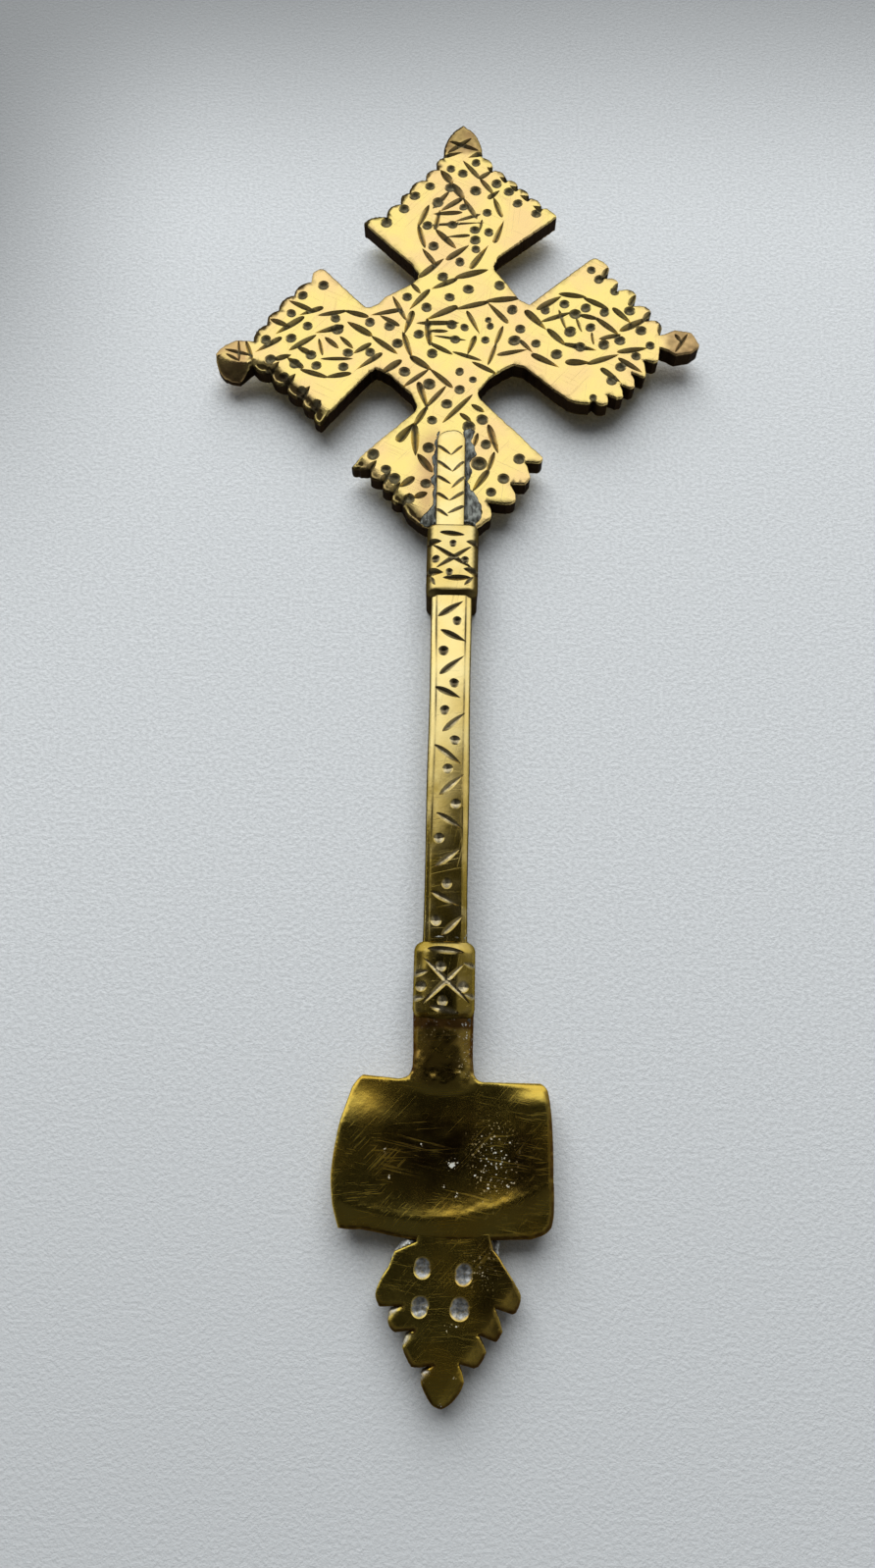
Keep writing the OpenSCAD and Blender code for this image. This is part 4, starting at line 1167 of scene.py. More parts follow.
@dataclass
class HandleBar(Part):
    """The square bar with filed corners, a zigzag on its front, and the two tongues of its fork."""

    slot: Slot = Slot.HANDLE
    half_size: float = 3.5
    flat_half: float = 2.42
    middle_height: float = 4.5
    bar_ends: Pair = (-54.0, 15.0)
    tongue_front: Pair = (6.25, 8.0)
    tongue_back: Pair = (1.0, 2.75)
    tongue_edge: Rows = (
        (-3.4, 18.0, 0), (1.55, 18.0, 0), (1.5, 42.4, 0.15), (0.6, 43.9, 0.2), (-1.1, 44.2, 0.15),
        (-2.8, 43.6, 0.2), (-3.5, 42.0, 0))
    tongue_strokes: Rows = (
        (-3.45, 40.9, -0.9, 38.85, 0.6, 0.35), (1.0, 40.9, -1.1, 38.8, 0.5, 0.35),
        (-3.55, 37.75, -0.65, 35.5, 0.6, 0.35), (1.3, 37.65, -0.8, 35.4, 0.55, 0.35),
        (-3.5, 34.65, -0.8, 32.85, 0.6, 0.35), (1.5, 34.55, -0.95, 32.0, 0.6, 0.35),
        (-3.4, 31.15, -1.1, 29.6, 0.6, 0.35), (1.55, 31.45, -1.25, 29.55, 0.6, 0.35),
        (-3.35, 27.9, -1.2, 26.35, 0.6, 0.35), (1.45, 28.6, -1.55, 26.95, 0.6, 0.35))
    bar_strokes: Rows = (
        (-2.7, 7.0, 1.7, 10.0, 0.9, 0.4), (-2.2, 4.5, 2.3, 2.3, 0.9, 0.4),
        (-2.2, -3.7, 2.0, -0.2, 0.9, 0.35), (-2.9, -6.0, 1.5, -8.0, 0.9, 0.4),
        (-1.5, -14.0, 2.3, -10.5, 0.9, 0.4), (-2.8, -16.3, 1.8, -19.7, 0.9, 0.4),
        (-1.8, -25.0, 2.2, -21.3, 0.9, 0.4), (-2.2, -28.0, 2.2, -30.7, 0.9, 0.4),
        (-2.3, -37.0, 2.0, -33.7, 0.95, 0.4), (-2.8, -41.0, 1.7, -43.3, 0.9, 0.4),
        (-1.0, -48.0, 2.4, -44.7, 0.9, 0.4))
    bar_pits: Rows = (
        (0.6, 6.2, 0.9), (-1.6, 0.6, 0.9), (0.3, -5.3, 0.9), (-1.2, -10.2, 0.9), (0.6, -15.5, 0.9),
        (-0.5, -20.5, 0.9), (0.9, -26.5, 0.9), (-1.7, -32.3, 0.85), (-0.3, -39.7, 0.9), (-1.9, -45.7, 0.9))

    def crease_at(self, y: Array) -> tuple[Array, Array]:
        """Gives the wavering half width of the bar's front, and how far its middle strays to the left."""
        return self.flat_half + 0.1 * np.sin(y / 9.0), 0.05 * np.sin(y / 6.0)

    def past_crease(self, points: Array) -> Array:
        """Gives the way past the crease between front and filed corners, below 0 on the front."""
        half, shift = self.crease_at(points[:, 1])
        return np.abs(points[:, 0] + shift) - half

    def bar_face(self, points: Array) -> Array:
        """Gives the bar's front: a faint swell, with filed corners that steepen outwards from a crease."""
        over = crease(self.past_crease(points), 0.08)
        fall = 0.62 * over + 0.22 * over ** 2 + 0.006 * points[:, 0] ** 2
        return self.middle_height + self.half_size - fall + 0.012 * ripple(points, 9.0, 4) - 0.02

    def bar_under(self, points: Array) -> Array:
        """Gives the bar's back, as its front without engraving."""
        return 2.0 * self.middle_height - self.bar_face(points)

    def bar(self) -> Piece:
        """Builds the bar between and into the collars."""
        low, high = self.bar_ends
        along = np.arange(low, high, 0.35)
        side = np.full(len(along), self.half_size) + 0.05 * np.sin(along / 5.0) - 0.06
        ends = np.linspace(-self.half_size, self.half_size, 15)[1:-1]
        ring = np.concatenate([
            np.column_stack([side, along]), np.column_stack([-ends, np.full(len(ends), high)]),
            np.column_stack([-side, along])[::-1], np.column_stack([ends, np.full(len(ends), low)])])
        half, shift = self.crease_at(along)
        guides = tuple(np.column_stack([s * (half + d) - shift, along])
                       for s in (-1.0, 1.0) for d in (-0.2, -0.1, 0.0, 0.1, 0.2, 0.45, 0.7))
        marks = Engraving(self.bar_pits, self.bar_strokes, height=self.middle_height + self.half_size,
                          pit_depth=0.4, stroke_depth=0.22, blunt=1.8, widen=1.3, steps=44, bowl=1.2)
        # rim darkens the bar's outline with painted shade.
        skin = Relief(ring, self.bar_face, self.bar_under, marks, guides, pitch=0.7, rounding=0.25, rim=1.1,
                      rim_width=0.22).skin()
        plan, wear = skin.points[:, :2], skin.wear
        # Painted shade: a dark line of uneven strength along each crease, and dark marks on the upper bar.
        line = np.exp(-(self.past_crease(plan) / 0.14) ** 2)
        worn = np.clip(0.7 + 0.6 * ripple(plan * [0.1, 1.0], 9.0, 17), 0.3, 1.6)
        shaded_marks = wear[WearAndShade.CUT] * ramp(plan[:, 1], -20.0, -6.0)
        wear[WearAndShade.RIM_SHADE] = np.maximum.reduce([wear[WearAndShade.RIM_SHADE], worn * line, shaded_marks])
        # Painted shade: darker towards the foot of the bar.
        wear[WearAndShade.STAIN_AND_SHADE] = 0.9 * ramp(-plan[:, 1], -2.0, 42.0)
        wear[WearAndShade.WALL] *= 0.6
        return self.settle(skin.piece("zigzag_bar", 17.0), "handle_bar")

    def tongue(self, name: str, heights: Pair, strokes: Rows) -> Piece:
        """Builds one tongue of the fork.

        Args:
            name: Name of the piece.
            heights: Heights of its back and its front.
            strokes: Engraving on its front.

        Returns:
            The dressed tongue.
        """
        low, high = heights
        seen = self.tongue_front[1]
        marks = Engraving(strokes=strokes, height=seen, stroke_depth=0.35, widen=1.25)
        skin = Relief(trace(self.tongue_edge, 0.3, seen), lambda p: high - 0.02 + 0.02 * ripple(p, 6.0, 2),
                      level(low), marks, pitch=0.7, rounding=0.4).skin()
        return self.settle(skin.piece(name), "handle_bar")

    def build(self) -> list[Piece]:
        """Builds and dresses the bar and both tongues."""
        return [self.bar(), self.tongue("fork_tongue_front", self.tongue_front, self.tongue_strokes),
                self.tongue("fork_tongue_back", self.tongue_back, ())]


@dataclass
class Collar(Part):
    """A collar: a pillow-shaped block with a crossed front, notched sides and worn ends."""

    slot: Slot = Slot.HANDLE
    node: str = "upper_collar"
    ends: Pair = (10.0, 23.5)
    half_width: float = 4.5
    front_height: float = 9.0
    flat_half: float = 2.7
    side_slope: float = 0.25
    side_curve: float = 0.25
    foot_fall: float = 1.15
    foot_slope: float = 0.9
    head_slope: float = 0.3
    head_fall: float = 0.6
    # side_rim and foot_rim: painted shade along the sides and the foot.
    side_rim: float = 1.0
    foot_rim: float = 1.5
    corner: float = 1.0
    foot_bow: float = 0.2
    # How much painted shade fills the marks, and how much darker the whole front turns.
    mark_shade: float = 0.9
    stain_and_shade: float = 0.0
    marks: Engraving = field(default_factory=Engraving)

    def face(self, points: Array) -> Array:
        """Gives the front: flat in the middle, rolled off at the sides and sloped at both ends."""
        low, high = self.ends
        over = crease(np.abs(points[:, 0]) - self.flat_half, 0.2)
        fall = self.side_slope * over + self.side_curve * over ** 2
        fall = fall + self.foot_fall * (1.0 - ramp(points[:, 1], low - 0.2, low + self.foot_slope))
        fall = fall + self.head_fall * (1.0 - ramp(high - points[:, 1], -0.2, self.head_slope))
        return self.front_height - 0.06 - fall + 0.02 * ripple(points, 4.0, 6)

    def build(self) -> list[Piece]:
        """Builds and dresses the collar."""
        low, high = self.ends[0] + 0.5 * self.foot_bow, self.ends[1]
        half, by = self.half_width - 0.05, self.corner
        bend = 0.29 * by
        ring = np.array([
            (half - by, low, bend), (half, low + by, 0), (half, high - by, bend), (half - by, high, 0),
            (by - half, high, bend), (-half, high - by, 0), (-half, low + by, bend),
            (by - half, low, self.foot_bow)])
        steps = trace(ring - [VIEW.axis_shift, 0, 0], 0.25)
        side = outward(steps)
        # Painted shade along the sides and the foot.
        rim = 0.1 + np.maximum(self.side_rim * np.abs(side[:, 0]), -self.foot_rim * side[:, 1])
        skin = Relief(steps, self.face, level(0.0), self.marks, pitch=0.5, rounding=0.45, rim=rim,
                      rim_width=1.2).skin()
        skin.wear[WearAndShade.WALL] *= 0.85
        # Painted shade in the marks, and an even darker tone over the whole collar.
        skin.wear[WearAndShade.RIM_SHADE] = np.maximum(skin.wear[WearAndShade.RIM_SHADE], self.mark_shade * skin.wear[WearAndShade.CUT])
        skin.wear[WearAndShade.STAIN_AND_SHADE] = np.full(len(skin.points), self.stain_and_shade)
        return [self.settle(skin.piece("crossed_" + self.node, 18.0), self.node)]


UPPER_MARKS = Engraving(
    pits=((-0.35, 21.1, 0.75), (-3.3, 18.0, 0.75), (1.8, 17.9, 0.75), (-0.9, 15.5, 0.75)),
    strokes=(
        (-2.7, 23.3, 1.7, 22.8, 0.9, 0.45), (-3.9, 20.8, 3.3, 16.2, 0.8, 0.45),
        (2.9, 20.6, -3.2, 16.3, 0.8, 0.5), (-5.6, 21.3, -2.3, 21.5, 1.35, 0.35),
        (-5.6, 15.7, -1.9, 15.4, 1.45, 0.35), (4.8, 21.3, 1.9, 21.5, 1.25, 0.35),
        (4.8, 15.6, 1.5, 16.2, 1.35, 0.35), (-2.0, 14.4, 2.9, 14.5, 1.0, 0.5),
        (-4.2, 14.8, -3.3, 13.0, 0.6, 0.5), (3.3, 14.8, 1.7, 13.0, 0.6, 0.5)),
    height=9.0, pit_depth=0.42, stroke_depth=0.26, blunt=1.4, widen=1.15, steps=44, bowl=1.2)

LOWER_MARKS = Engraving(
    pits=((-1.0, -52.9, 1.0), (2.5, -55.9, 0.95), (-4.0, -55.9, 0.95), (-0.6, -58.2, 0.9)),
    strokes=(
        (-3.1, -50.1, 2.7, -50.6, 0.9, 0.45), (-3.8, -51.4, 3.6, -58.4, 0.75, 0.5),
        (2.8, -52.2, -3.9, -58.8, 0.75, 0.5), (-5.4, -54.0, -2.7, -53.6, 0.9, 0.3),
        (-5.4, -57.7, -3.2, -57.7, 0.9, 0.3), (4.4, -52.7, 2.4, -52.2, 0.8, 0.3),
        (4.4, -57.5, 2.6, -57.0, 0.8, 0.3), (-2.8, -59.0, 2.0, -60.0, 0.9, 0.5)),
    height=9.0, pit_depth=0.42, stroke_depth=0.24, blunt=1.4, widen=1.35, steps=44, bowl=1.2)


@dataclass
class BasePlaque(Part):
    """The dished plaque with its thick rough neck."""

    slot: Slot = Slot.BASE
    rim_height: float = 6.2
    back_height: float = 2.8
    dish_depth: float = 0.36
    middle: float = 0.3
    half_span: float = 16.2
    bowl_top: float = -70.0
    lip_height: float = -89.6
    lip_curve: float = 0.0155
    crumbs: Rows = (
        (1.1, -82.3, 0.55), (1.9, -81.9, 0.5), (9.5, -84.8, 0.4), (10.0, -84.6, 0.25), (2.0, -86.5, 0.3),
        (-8.8, -80.3, 0.25), (-3.3, -79.3, 0.25), (5.6, -78.2, 0.25), (7.9, -81.0, 0.25), (4.6, -83.6, 0.3),
        (3.0, -77.3, 0.22), (9.9, -79.0, 0.3), (6.7, -85.4, 0.2), (-8.2, -84.0, 0.2), (0.2, -85.3, 0.25))
    neck_middle: float = 4.5
    neck_rise: float = 3.2
    neck_half: float = 4.75
    edge: Rows = (
        (-5.1, -58.6, 0), (-5.0, -63.0, 0), (-4.9, -66.0, 0), (-4.95, -68.0, -0.1), (-5.5, -69.4, -0.1),
        (-7.0, -69.9, 0), (-12.4, -69.4, 0.1), (-13.5, -70.5, 0.1), (-14.2, -71.8, 0), (-15.2, -75.0, 0.1),
        (-16.0, -78.5, 0.1), (-16.6, -84.0, 0.05), (-16.2, -88.0, 0.05), (-15.2, -91.3, 0.1),
        (-12.0, -91.4, 0), (-10.0, -91.7, 0.05), (-4.0, -92.7, 0.1), (7.5, -92.5, 0), (13.0, -92.3, 0),
        (14.5, -91.8, 0.15), (16.0, -90.6, 0.1), (16.4, -88.0, 0.05), (16.3, -84.0, 0.1),
        (16.1, -75.0, 0.05), (15.6, -71.3, 0.15), (14.5, -70.2, 0), (6.0, -70.2, -0.1), (5.0, -69.9, -0.1),
        (4.4, -69.0, -0.05), (4.2, -66.0, 0), (4.3, -58.6, 0))

    def lip(self, x: Array) -> Array:
        """Gives where the bowl ends below: a line that climbs to both sides as a parabola."""
        return self.lip_height + self.lip_curve * (x + 2.6) ** 2

    def dish(self, points: Array) -> Array:
        """Gives the plaque's face: a flat-bottomed bowl over a plain foot, its upper corners bent back.

        Across, the bowl rises with a power of the way from its middle. Along, it is level but for a
        short rise at both ends. The left corner bends over a long stretch, the right over a short one.
        """
        x, y = points[:, 0] - self.middle, points[:, 1]
        lip = self.lip(x)
        across = np.clip(np.abs(x) / self.half_span, 0.0, 1.0)
        along = np.clip((y - lip) / (self.bowl_top - lip), 0.0, 1.0)
        ends = (2.0 * along - 1.0) ** 6
        ends = np.where(along < 0.5, ends * (0.5 + 0.5 * ramp(x, -9.0, 3.0)), ends)
        bowl = self.dish_depth * (1.0 - across ** 2.4) * (1.0 - ends)
        bent = 0.8 * ramp(y, -77.0, -68.5) * ramp(-x, 4.0, 13.0)
        bent = bent + 0.6 * ramp(y, -73.4, -69.6) * ramp(x, 6.0, 14.0)
        beaten = 0.025 * ripple(points, 0.9, 15) * np.exp(-((y - lip - 0.6) / 1.0) ** 2)
        return self.rim_height - bowl - bent + beaten - 0.4 * ramp(lip - y, 0.0, 4.0)

    def neck(self, points: Array) -> Array:
        """Gives the rise of the neck above its middle: a flattened round, lower and wider below."""
        near = ramp(-points[:, 1], 65.0, 70.5)
        across = np.clip(np.abs(points[:, 0]) / (self.neck_half + 2.0 * near), 0.0, 0.999)
        rise = self.neck_rise - 1.1 * ramp(-points[:, 1], 59.5, 70.5)
        swell = rise * (1.0 - across ** 3.2) ** 0.5
        return swell + 0.045 * ripple(points, 1.3, 12) + 0.05 * ripple(points, 3.0, 13)

    def neck_share(self, points: Array) -> Array:
        """Gives 1 on the neck, above an arched seam, and 0 on the plaque."""
        seam = -72.2 + 0.05 * (points[:, 0] - 0.2) ** 2
        share = ramp(points[:, 1], seam, seam + 1.5) * ramp(-np.abs(points[:, 0]), -7.4, -5.2)
        return np.maximum(share, points[:, 1] > -69.2)

    def face(self, points: Array) -> Array:
        """Gives the front: the dish, and above an arched seam the neck."""
        share = self.neck_share(points)
        dish = self.dish(points) + 0.012 * ripple(points, 5.0, 14)
        return dish * (1.0 - share) + (self.neck_middle + self.neck(points)) * share

    def under(self, points: Array) -> Array:
        """Gives the back: flat under the plaque, rounded under the neck."""
        share = ramp(points[:, 1], -71.5, -69.5) * ramp(-np.abs(points[:, 0]), -5.8, -4.4)
        share = np.maximum(share, points[:, 1] > -69.2)
        return self.back_height * (1.0 - share) + (self.neck_middle - self.neck(points)) * share

    def dust(self, points: Array) -> Array:
        """Gives the pale polish left behind: thin at the right of dish and neck, and whole in crumbs."""
        x, y = points.T
        neck = ramp(x, 1.6, 3.4) * ramp(y, -70.5, -69.0) + 0.5 * ramp(y, -65.0, -63.5)
        thin = np.clip(1.2 * spot(points, (8.0, -81.5), (2.6, 4.4)) + 0.5 * neck, 0.0, 1.0)
        rows = np.array(self.crumbs)
        rows[:, :2] = VIEW.place(rows[:, :2], VIEW.face_height)
        return np.maximum(thin, crumbs_on(points, rows))

    def build(self) -> list[Piece]:
        """Builds and dresses plaque and neck as one casting."""
        ring = trace(self.edge, 0.35)
        # Painted shade along the edges that face down and right, and round the neck.
        rim = np.maximum(facing(ring, (0.5, -0.85), 0.1), 0.9 * (ring[:, 1] > -68.6))
        skin = Relief(ring, self.face, self.under, pitch=0.5, rounding=0.45, rim=rim, rim_width=0.9).skin()
        plan = skin.points[:, :2]
        # Painted shade over the middle and the right of the dish, and a darker tone on the neck.
        middle = 0.9 * spot(plan, (-1.0, -79.5), (9.0, 7.0))
        right = 0.8 * spot(plan, (12.5, -81.5), (3.5, 6.0))
        skin.wear[WearAndShade.STAIN_AND_SHADE] = np.maximum.reduce([0.6 * self.neck_share(plan), middle, right])
        # Painted shade at the top of the neck, under the collar.
        skin.wear[WearAndShade.RIM_SHADE] = np.maximum(skin.wear[WearAndShade.RIM_SHADE], 1.2 * ramp(plan[:, 1], -63.2, -61.9))
        skin.wear[WearAndShade.RESIDUE] = self.dust(plan)
        skin.wear[WearAndShade.WALL] *= 0.8
        return [self.settle(skin.piece("dished_plaque"), "base_plaque")]


@dataclass
class BaseLeaf(Part):
    """The toothed leaf under the plaque, with four punched pits."""

    slot: Slot = Slot.BASE
    front_height: float = 5.8
    back_height: float = 2.8
    edge: Rows = (
        (-3.6, -91.5, 0), (-3.7, -92.9, 0), (-6.8, -94.2, 0), (-7.7, -96.5, 0.1), (-9.1, -98.9, 0.05),
        (-9.4, -100.0, 0.1), (-9.0, -101.3, 0.1), (-8.7, -101.7, 0), (-5.6, -101.6, 0), (-7.2, -102.0, 0.1),
        (-7.5, -103.5, 0.1), (-7.0, -104.6, 0.05), (-6.4, -105.0, 0), (-3.8, -104.7, 0),
        (-4.9, -105.3, 0.1), (-5.3, -107.0, 0.1), (-4.0, -109.4, 0.1), (-2.3, -109.4, 0), (-0.9, -109.2, 0),
        (-2.4, -110.0, 0.1), (-2.6, -110.7, 0.1), (-2.4, -112.0, 0.1), (-1.0, -114.3, 0.1),
        (0.4, -114.9, 0.1), (2.0, -113.9, 0.05), (3.0, -112.6, 0.05), (3.5, -111.3, 0.1), (2.7, -108.9, 0),
        (4.9, -109.5, 0), (5.5, -109.3, 0.1), (6.6, -107.4, 0.1), (5.4, -105.1, 0), (7.7, -106.0, 0),
        (8.1, -106.0, 0.05), (8.9, -104.7, 0.1), (7.8, -101.6, 0), (10.3, -102.4, 0), (10.8, -102.2, 0.1),
        (11.5, -100.5, 0.1), (11.3, -99.3, 0.05), (9.0, -95.8, 0.1), (7.5, -93.8, 0), (7.1, -92.3, 0),
        (7.0, -91.5, 0))
    pits: Rows = (
        (-2.7, -96.0, 1.25), (-2.75, -96.7, 1.25), (3.3, -96.8, 1.35), (3.25, -97.5, 1.35),
        (-2.9, -101.2, 1.25), (-3.05, -101.9, 1.25), (2.8, -101.4, 1.35), (2.7, -102.0, 1.35))
    filed: Rows = (
        (-5.1, -101.7, -7.3, -103.9), (-2.9, -105.1, -5.1, -107.4), (-0.3, -109.7, -2.6, -112.0))
    crumbs: Rows = (
        (0.7, -114.3, 0.35), (-1.3, -111.4, 0.25), (2.4, -110.4, 0.25), (1.6, -104.3, 0.35),
        (2.6, -104.0, 0.3))

    def teeth(self, points: Array) -> Array:
        """Gives the way past the edges of the facets filed on the left teeth."""
        return np.maximum.reduce([facet(points, row[:2], row[2:]) for row in self.filed])

    def face(self, points: Array) -> Array:
        """Gives the front: a low swell with filed facets, falling towards the right and the tip."""
        fall = 0.2 * past_line(points, (1.0, -112.0), (9.5, -100.0))
        fall = fall + np.minimum(0.38 * self.teeth(points), 0.8)
        fall = fall + 0.8 * ramp(-points[:, 1], 110.0, 115.0)
        return self.front_height - fall + 0.04 * ripple(points, 6.0, 21)

    def build(self) -> list[Piece]:
        """Builds and dresses the leaf."""
        ring = trace(self.edge, 0.3)
        skin = Relief(ring, self.face, level(self.back_height), Engraving(pits=self.pits, pit_depth=0.42),
                      # Painted shade along the edges that face down.
                      pitch=0.5, rounding=0.25, rim=facing(ring, (0.0, -1.0), 0.05), rim_width=0.8).skin()
        plan = skin.points[:, :2]
        # Painted highlight: the filed facets of the left teeth take the pale grey of the cuts.
        skin.wear[WearAndShade.CUT] = np.maximum(skin.wear[WearAndShade.CUT], 0.8 * ramp(self.teeth(plan), 0.1, 0.45))
        # Painted shade: darker towards the right.
        skin.wear[WearAndShade.STAIN_AND_SHADE] = 0.5 * ramp(plan[:, 0], 3.0, 8.0)
        dust = 0.6 * spot(plan, (6.4, -96.5), (2.0, 2.6))
        skin.wear[WearAndShade.RESIDUE] = np.maximum(dust, crumbs_on(plan, self.crumbs))
        skin.wear[WearAndShade.WALL] *= 0.8
        return [self.settle(skin.piece("toothed_leaf"), "base_leaf")]


@dataclass
class Solder(Part):
    """Grey solder: lumpy runs and fillets at the joints."""

    slot: Slot = Slot.SOLDER
    head_right: Rows = (
        (1.5, 24.6), (3.1, 24.6), (4.1, 25.7), (4.65, 27.7), (4.45, 28.9), (3.7, 30.5), (2.65, 31.7),
        (2.0, 33.3), (2.8, 35.4), (2.2, 37.5), (3.5, 39.1), (2.5, 41.6), (3.2, 43.8), (2.4, 44.5),
        (1.1, 43.6), (1.4, 42.0), (1.4, 34.0))
    head_left: Rows = (
        (-3.2, 43.6), (-3.7, 43.0), (-3.95, 40.5), (-3.95, 38.9), (-4.5, 38.2), (-4.1, 36.5), (-4.0, 34.9),
        (-4.6, 33.9), (-4.1, 32.6), (-4.15, 30.5), (-4.1, 28.6), (-4.9, 27.2), (-6.0, 25.9), (-6.4, 24.8),
        (-5.2, 24.3), (-3.2, 24.5), (-3.3, 34.0))
    upper_run: Rows = (
        (-4.2, 24.2), (3.4, 24.2), (3.2, 25.6), (1.0, 25.4), (-1.6, 25.7), (-4.0, 25.4))
    lower_run: Rows = (
        (-3.6, -49.2), (3.2, -49.2), (3.0, -48.0), (0.6, -48.3), (-1.5, -48.0), (-3.5, -48.2))
    neck_run: Rows = (
        (-4.4, -61.9), (3.6, -61.9), (3.7, -60.6), (-4.5, -60.6))
    leaf_left: Rows = (
        (-7.5, -95.6), (-6.7, -95.7), (-4.2, -93.7), (-3.3, -92.5), (-4.6, -92.3), (-6.3, -93.3))
    leaf_right: Rows = (
        (7.4, -92.1), (7.9, -94.2), (8.3, -94.8), (8.6, -94.2), (8.4, -93.0), (7.9, -92.2))

    def run(self, name: str, node: str, edge: Rows, low: float, high: float, flux: float, pale: float,
            seed: int) -> Piece:
        """Builds one lumpy run of solder.

        Its top swells with the distance from its outline, and has lumps of two sizes.

        Args:
            name: Name of the piece.
            node: CAD node that it stands for.
            edge: Its outline as seen from above, anticlockwise.
            low: Height of its flat side.
            high: Height of its crest.
            flux: How much dark flux covers it, from 0 to 1.
            pale: How much of it is scraped pale, from 0 to 1.
            seed: Start of the random draws for its lumps.

        Returns:
            The dressed run.
        """
        ring = trace(np.pad(edge, ((0, 0), (0, 1))), 0.25)
        ring = ring + outward(ring) * (0.14 * ripple(ring, 1.6, seed))[:, None]

        def crest(points: Array) -> Array:
            """Gives the lumpy top."""
            gap, _ = edge_distance(points, ring)
            swell = (high - low) * (0.4 + 0.6 * ramp(gap, 0.0, 0.7))
            lumps = 0.85 + 0.12 * ripple(points, 1.5, seed + 1) + 0.06 * ripple(points, 0.6, seed + 2)
            return low + swell * lumps

        skin = Relief(ring, crest, level(low), pitch=0.28, rounding=0.1, file_marks=0.0).skin()
        skin.wear[WearAndShade.STAIN_AND_SHADE] = np.full(len(skin.points), flux)
        skin.wear[WearAndShade.RESIDUE] = np.full(len(skin.points), pale)
        return self.settle(skin.piece(name), node)

    def build(self) -> list[Piece]:
        """Builds and dresses every run."""
        runs = (
            ("head_solder_right", "head_solder", self.head_right, 6.2, 6.95, 0.1, 0.1, 31),
            ("head_solder_left", "head_solder", self.head_left, 6.2, 6.7, 0.45, 0.05, 34),
            ("upper_collar_solder_run", "upper_collar_solder", self.upper_run, 6.2, 7.6, 0.3, 0.15, 37),
            ("lower_collar_solder_run", "lower_collar_solder", self.lower_run, 6.0, 8.75, 0.2, 0.35, 40),
            ("neck_solder_run", "neck_solder", self.neck_run, 6.0, 7.1, 1.0, 0.0, 43),
            ("leaf_solder_left", "leaf_solder", self.leaf_left, 2.9, 6.1, 0.0, 1.0, 46),
            ("leaf_solder_right", "leaf_solder", self.leaf_right, 2.9, 6.0, 0.0, 0.9, 49))
        return [self.run(*row) for row in runs]


# The studio

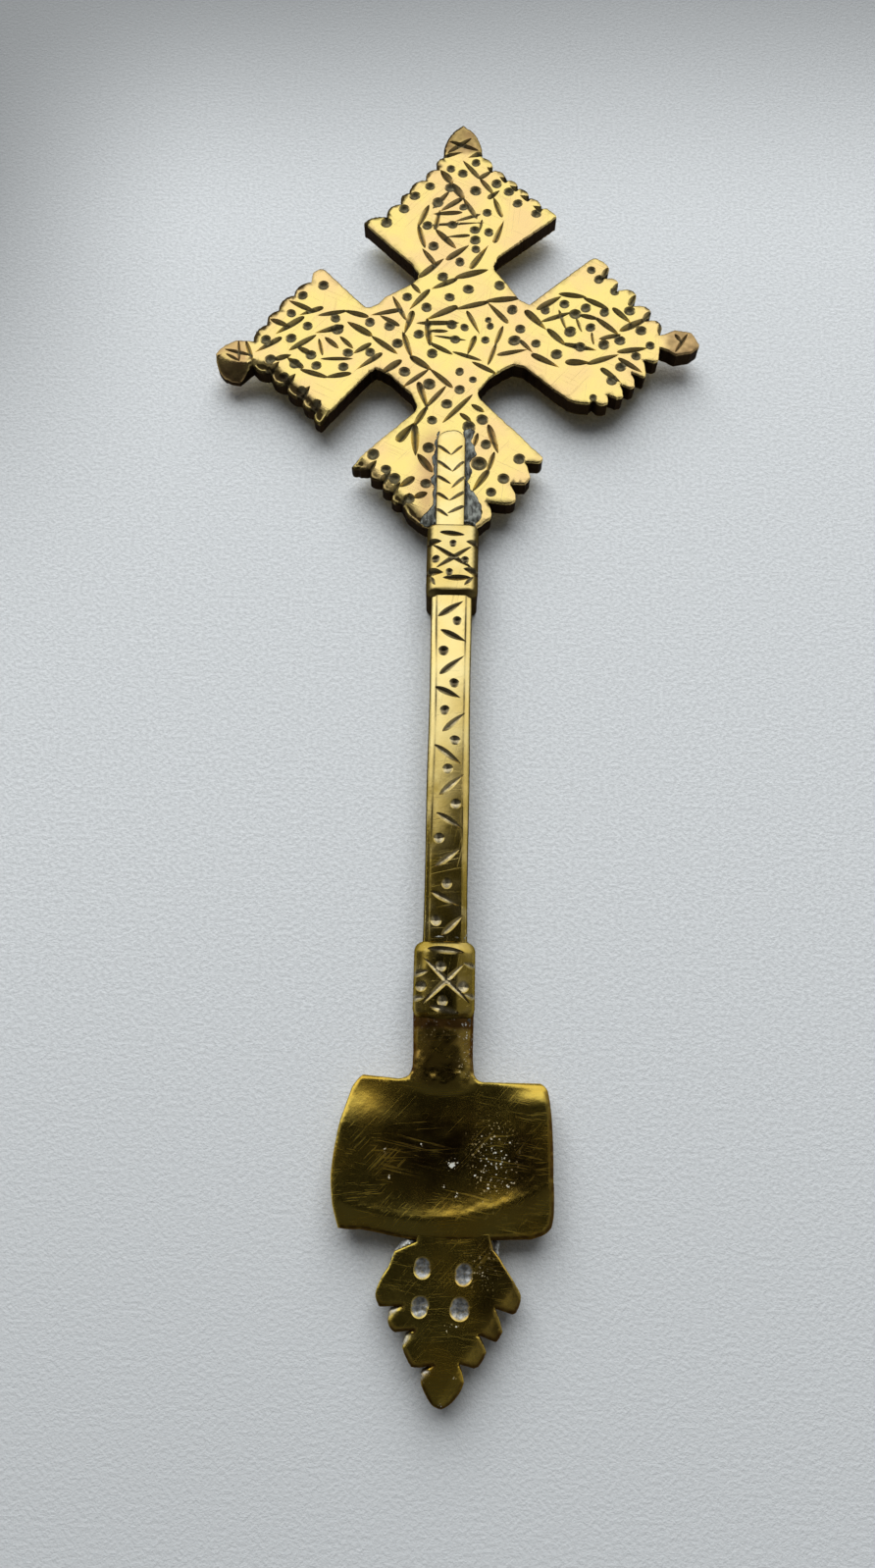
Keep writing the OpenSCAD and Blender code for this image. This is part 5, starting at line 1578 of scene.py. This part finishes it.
@dataclass
class Studio:
    """Pale floor, soft light from the top of the picture, and a room that metal mirrors."""

    floor_colour: Colour = (0.722, 0.758, 0.779)
    floor_half: float = 4.0
    backdrop: Colour = (0.60, 0.63, 0.65)
    window: float = 1.08
    gloom: float = 0.038
    zenith: float = 0.006
    dome: Pair = (0.04, 0.4)
    key_watts: float = 31.0
    key_place: Triple = (-0.12, 1.02, 1.02)
    key_size: float = 1.6

    def floor(self) -> None:
        """Lays the floor: a pale sheet with a pebble grain, and painted shade at the picture's top, left and
        foot.
        """
        made, sheet, place = new_material("pebbled floor")
        pebble = sheet.noise(place, 1600.0, 3.0, 0.65)
        shade, far_shade, near = (tuple(c * share for c in self.floor_colour) for share in (0.85, 0.36, 0.82))
        tone = sheet.mix(sheet.step(pebble, 0.35, 0.65), shade, self.floor_colour)
        x, y, _ = sheet.add("SeparateXYZ", {0: place}).outputs
        away = sheet.add("VectorMath", {0: place}, operation="LENGTH").outputs["Value"]
        local = sheet.step(away, 0.65, 0.3)
        # Painted shade near the cross: darker towards the foot, the top and the left of the picture.
        foot = sheet.times(sheet.step(y, -0.02, -0.15), sheet.step(x, 0.09, -0.09, 0.6, 1.0))
        top = sheet.step(y, 0.09, sheet.step(x, -0.07, 0.05, 0.172, 0.186))
        left = sheet.times(sheet.step(x, -0.048, -0.113), sheet.step(y, -0.01, 0.11))
        for share, colour in ((foot, near), (top, far_shade), (left, far_shade)):
            tone = sheet.mix(sheet.times(local, share), tone, colour)
        bump = sheet.add("Bump", {"Height": pebble, "Strength": 0.45, "Distance": 0.0004}).outputs[0]
        sheet.surface({"Base Color": tone, "Roughness": 0.6, "Specular IOR Level": 0.2, "Normal": bump})
        half = self.floor_half
        mesh = bpy.data.meshes.new("floor")
        corners = [(-half, -half, 0), (half, -half, 0), (half, half, 0), (-half, half, 0)]
        mesh.from_pydata(corners, [], [(0, 1, 2, 3)])
        mesh.materials.append(made)
        piece = bpy.data.objects.new("floor", mesh)
        bpy.context.scene.collection.objects.link(piece)

    def lamp(self) -> None:
        """Hangs a soft square lamp that lights the cross but isn't mirrored in metal."""
        data = bpy.data.lights.new("window lamp", "AREA")
        data.size, data.energy = self.key_size, self.key_watts
        made = bpy.data.objects.new("window lamp", data)
        made.location = self.key_place
        made.rotation_euler = (-Vector(self.key_place)).to_track_quat("-Z", "Y").to_euler()
        made.visible_glossy = False
        bpy.context.scene.collection.objects.link(made)

    def room(self) -> None:
        """Makes the world: a bright window to the north, gloom overhead, and a pale backdrop for the eye.

        The angle from straight up towards the north, and the share that points sideways, set how
        bright a direction is. Both side walls are bright in the north and dim in the south, the south
        is faint, and it is darkest straight up. Surfaces that don't mirror get the light of a plain
        dome, brighter to the north.
        """
        world = bpy.data.worlds.new("room")
        world.use_nodes = True
        bpy.context.scene.world = world
        sheet = Sheet(world.node_tree)
        look = sheet.add("TexCoord", {}).outputs["Generated"]
        x, y, z = sheet.add("SeparateXYZ", {0: look}).outputs
        tilt = sheet.math("ARCTAN2", y, z)
        aside = sheet.math("ABSOLUTE", x)
        low = sheet.step(x, -0.06, 0.06, math.radians(14), math.radians(18))
        lit = sheet.times(sheet.step(tilt, low, sheet.math("ADD", low, math.radians(4))),
                          sheet.step(tilt, math.radians(72), math.radians(54)))
        lit = sheet.times(lit, sheet.step(aside, 0.95, 0.7))
        left = sheet.times(sheet.step(x, -0.25, -0.5), sheet.step(y, 0.275, 0.325, 0.07, 1.15))
        right = sheet.times(sheet.step(x, 0.25, 0.5), sheet.step(y, 0.16, 0.36, 0.2, 0.95))
        south = sheet.step(tilt, math.radians(-45), math.radians(-85), 0.0, 0.1)
        over = sheet.step(z, 0.975, 0.997, self.gloom, self.zenith)
        bright = sheet.most(left, right, south, over, sheet.times(lit, self.window))
        shine = sheet.add("Background", {"Color": (0.98, 0.99, 1.0, 1.0), "Strength": bright}).outputs[0]
        seen = sheet.add("Background", {"Color": (*self.backdrop, 1.0), "Strength": 1.0}).outputs[0]
        soft = sheet.add("Background", {"Strength": sheet.step(y, -0.5, 0.6, *self.dome)}).outputs[0]
        path = sheet.add("LightPath", {}).outputs
        mirrored = sheet.add("MixShader", {0: path["Is Glossy Ray"], 1: soft, 2: shine}).outputs[0]
        mixed = sheet.add("MixShader", {0: path["Is Camera Ray"], 1: mirrored, 2: seen}).outputs[0]
        sheet.add("OutputWorld", {0: mixed})

    def build(self) -> None:
        """Sets up camera, floor, lamp, world and colour."""
        VIEW.camera()
        self.floor()
        self.lamp()
        self.room()
        bpy.context.scene.view_settings.view_transform = "Standard"


def main() -> None:
    """Builds studio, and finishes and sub-assemblies in order."""
    logging.basicConfig(level=logging.INFO, format="%(message)s")
    Studio().build()
    finishes = Finishes()
    upper = Collar(finishes, stain_and_shade=0.2, marks=UPPER_MARKS)
    # On the lower collar, the darker tone and the dark rims are painted shade.
    lower = Collar(
        finishes, node="lower_collar", ends=(-61.3, -49.3), half_width=4.8, flat_half=1.2, side_slope=0.0,
        side_curve=0.13, foot_fall=1.5, foot_slope=1.4, head_slope=1.7, head_fall=0.5, side_rim=0.3,
        foot_rim=0.7, corner=1.4, foot_bow=0.6, mark_shade=0.0, stain_and_shade=0.95, marks=LOWER_MARKS)
    parts = (CrossHead(finishes), HandleBar(finishes), upper, lower, BasePlaque(finishes),
             BaseLeaf(finishes), Solder(finishes))
    for part in parts:
        for piece in part.build():
            LOG.info("%s: %d faces", piece.name, len(piece.data.polygons))


if __name__ == "__main__":
    main()
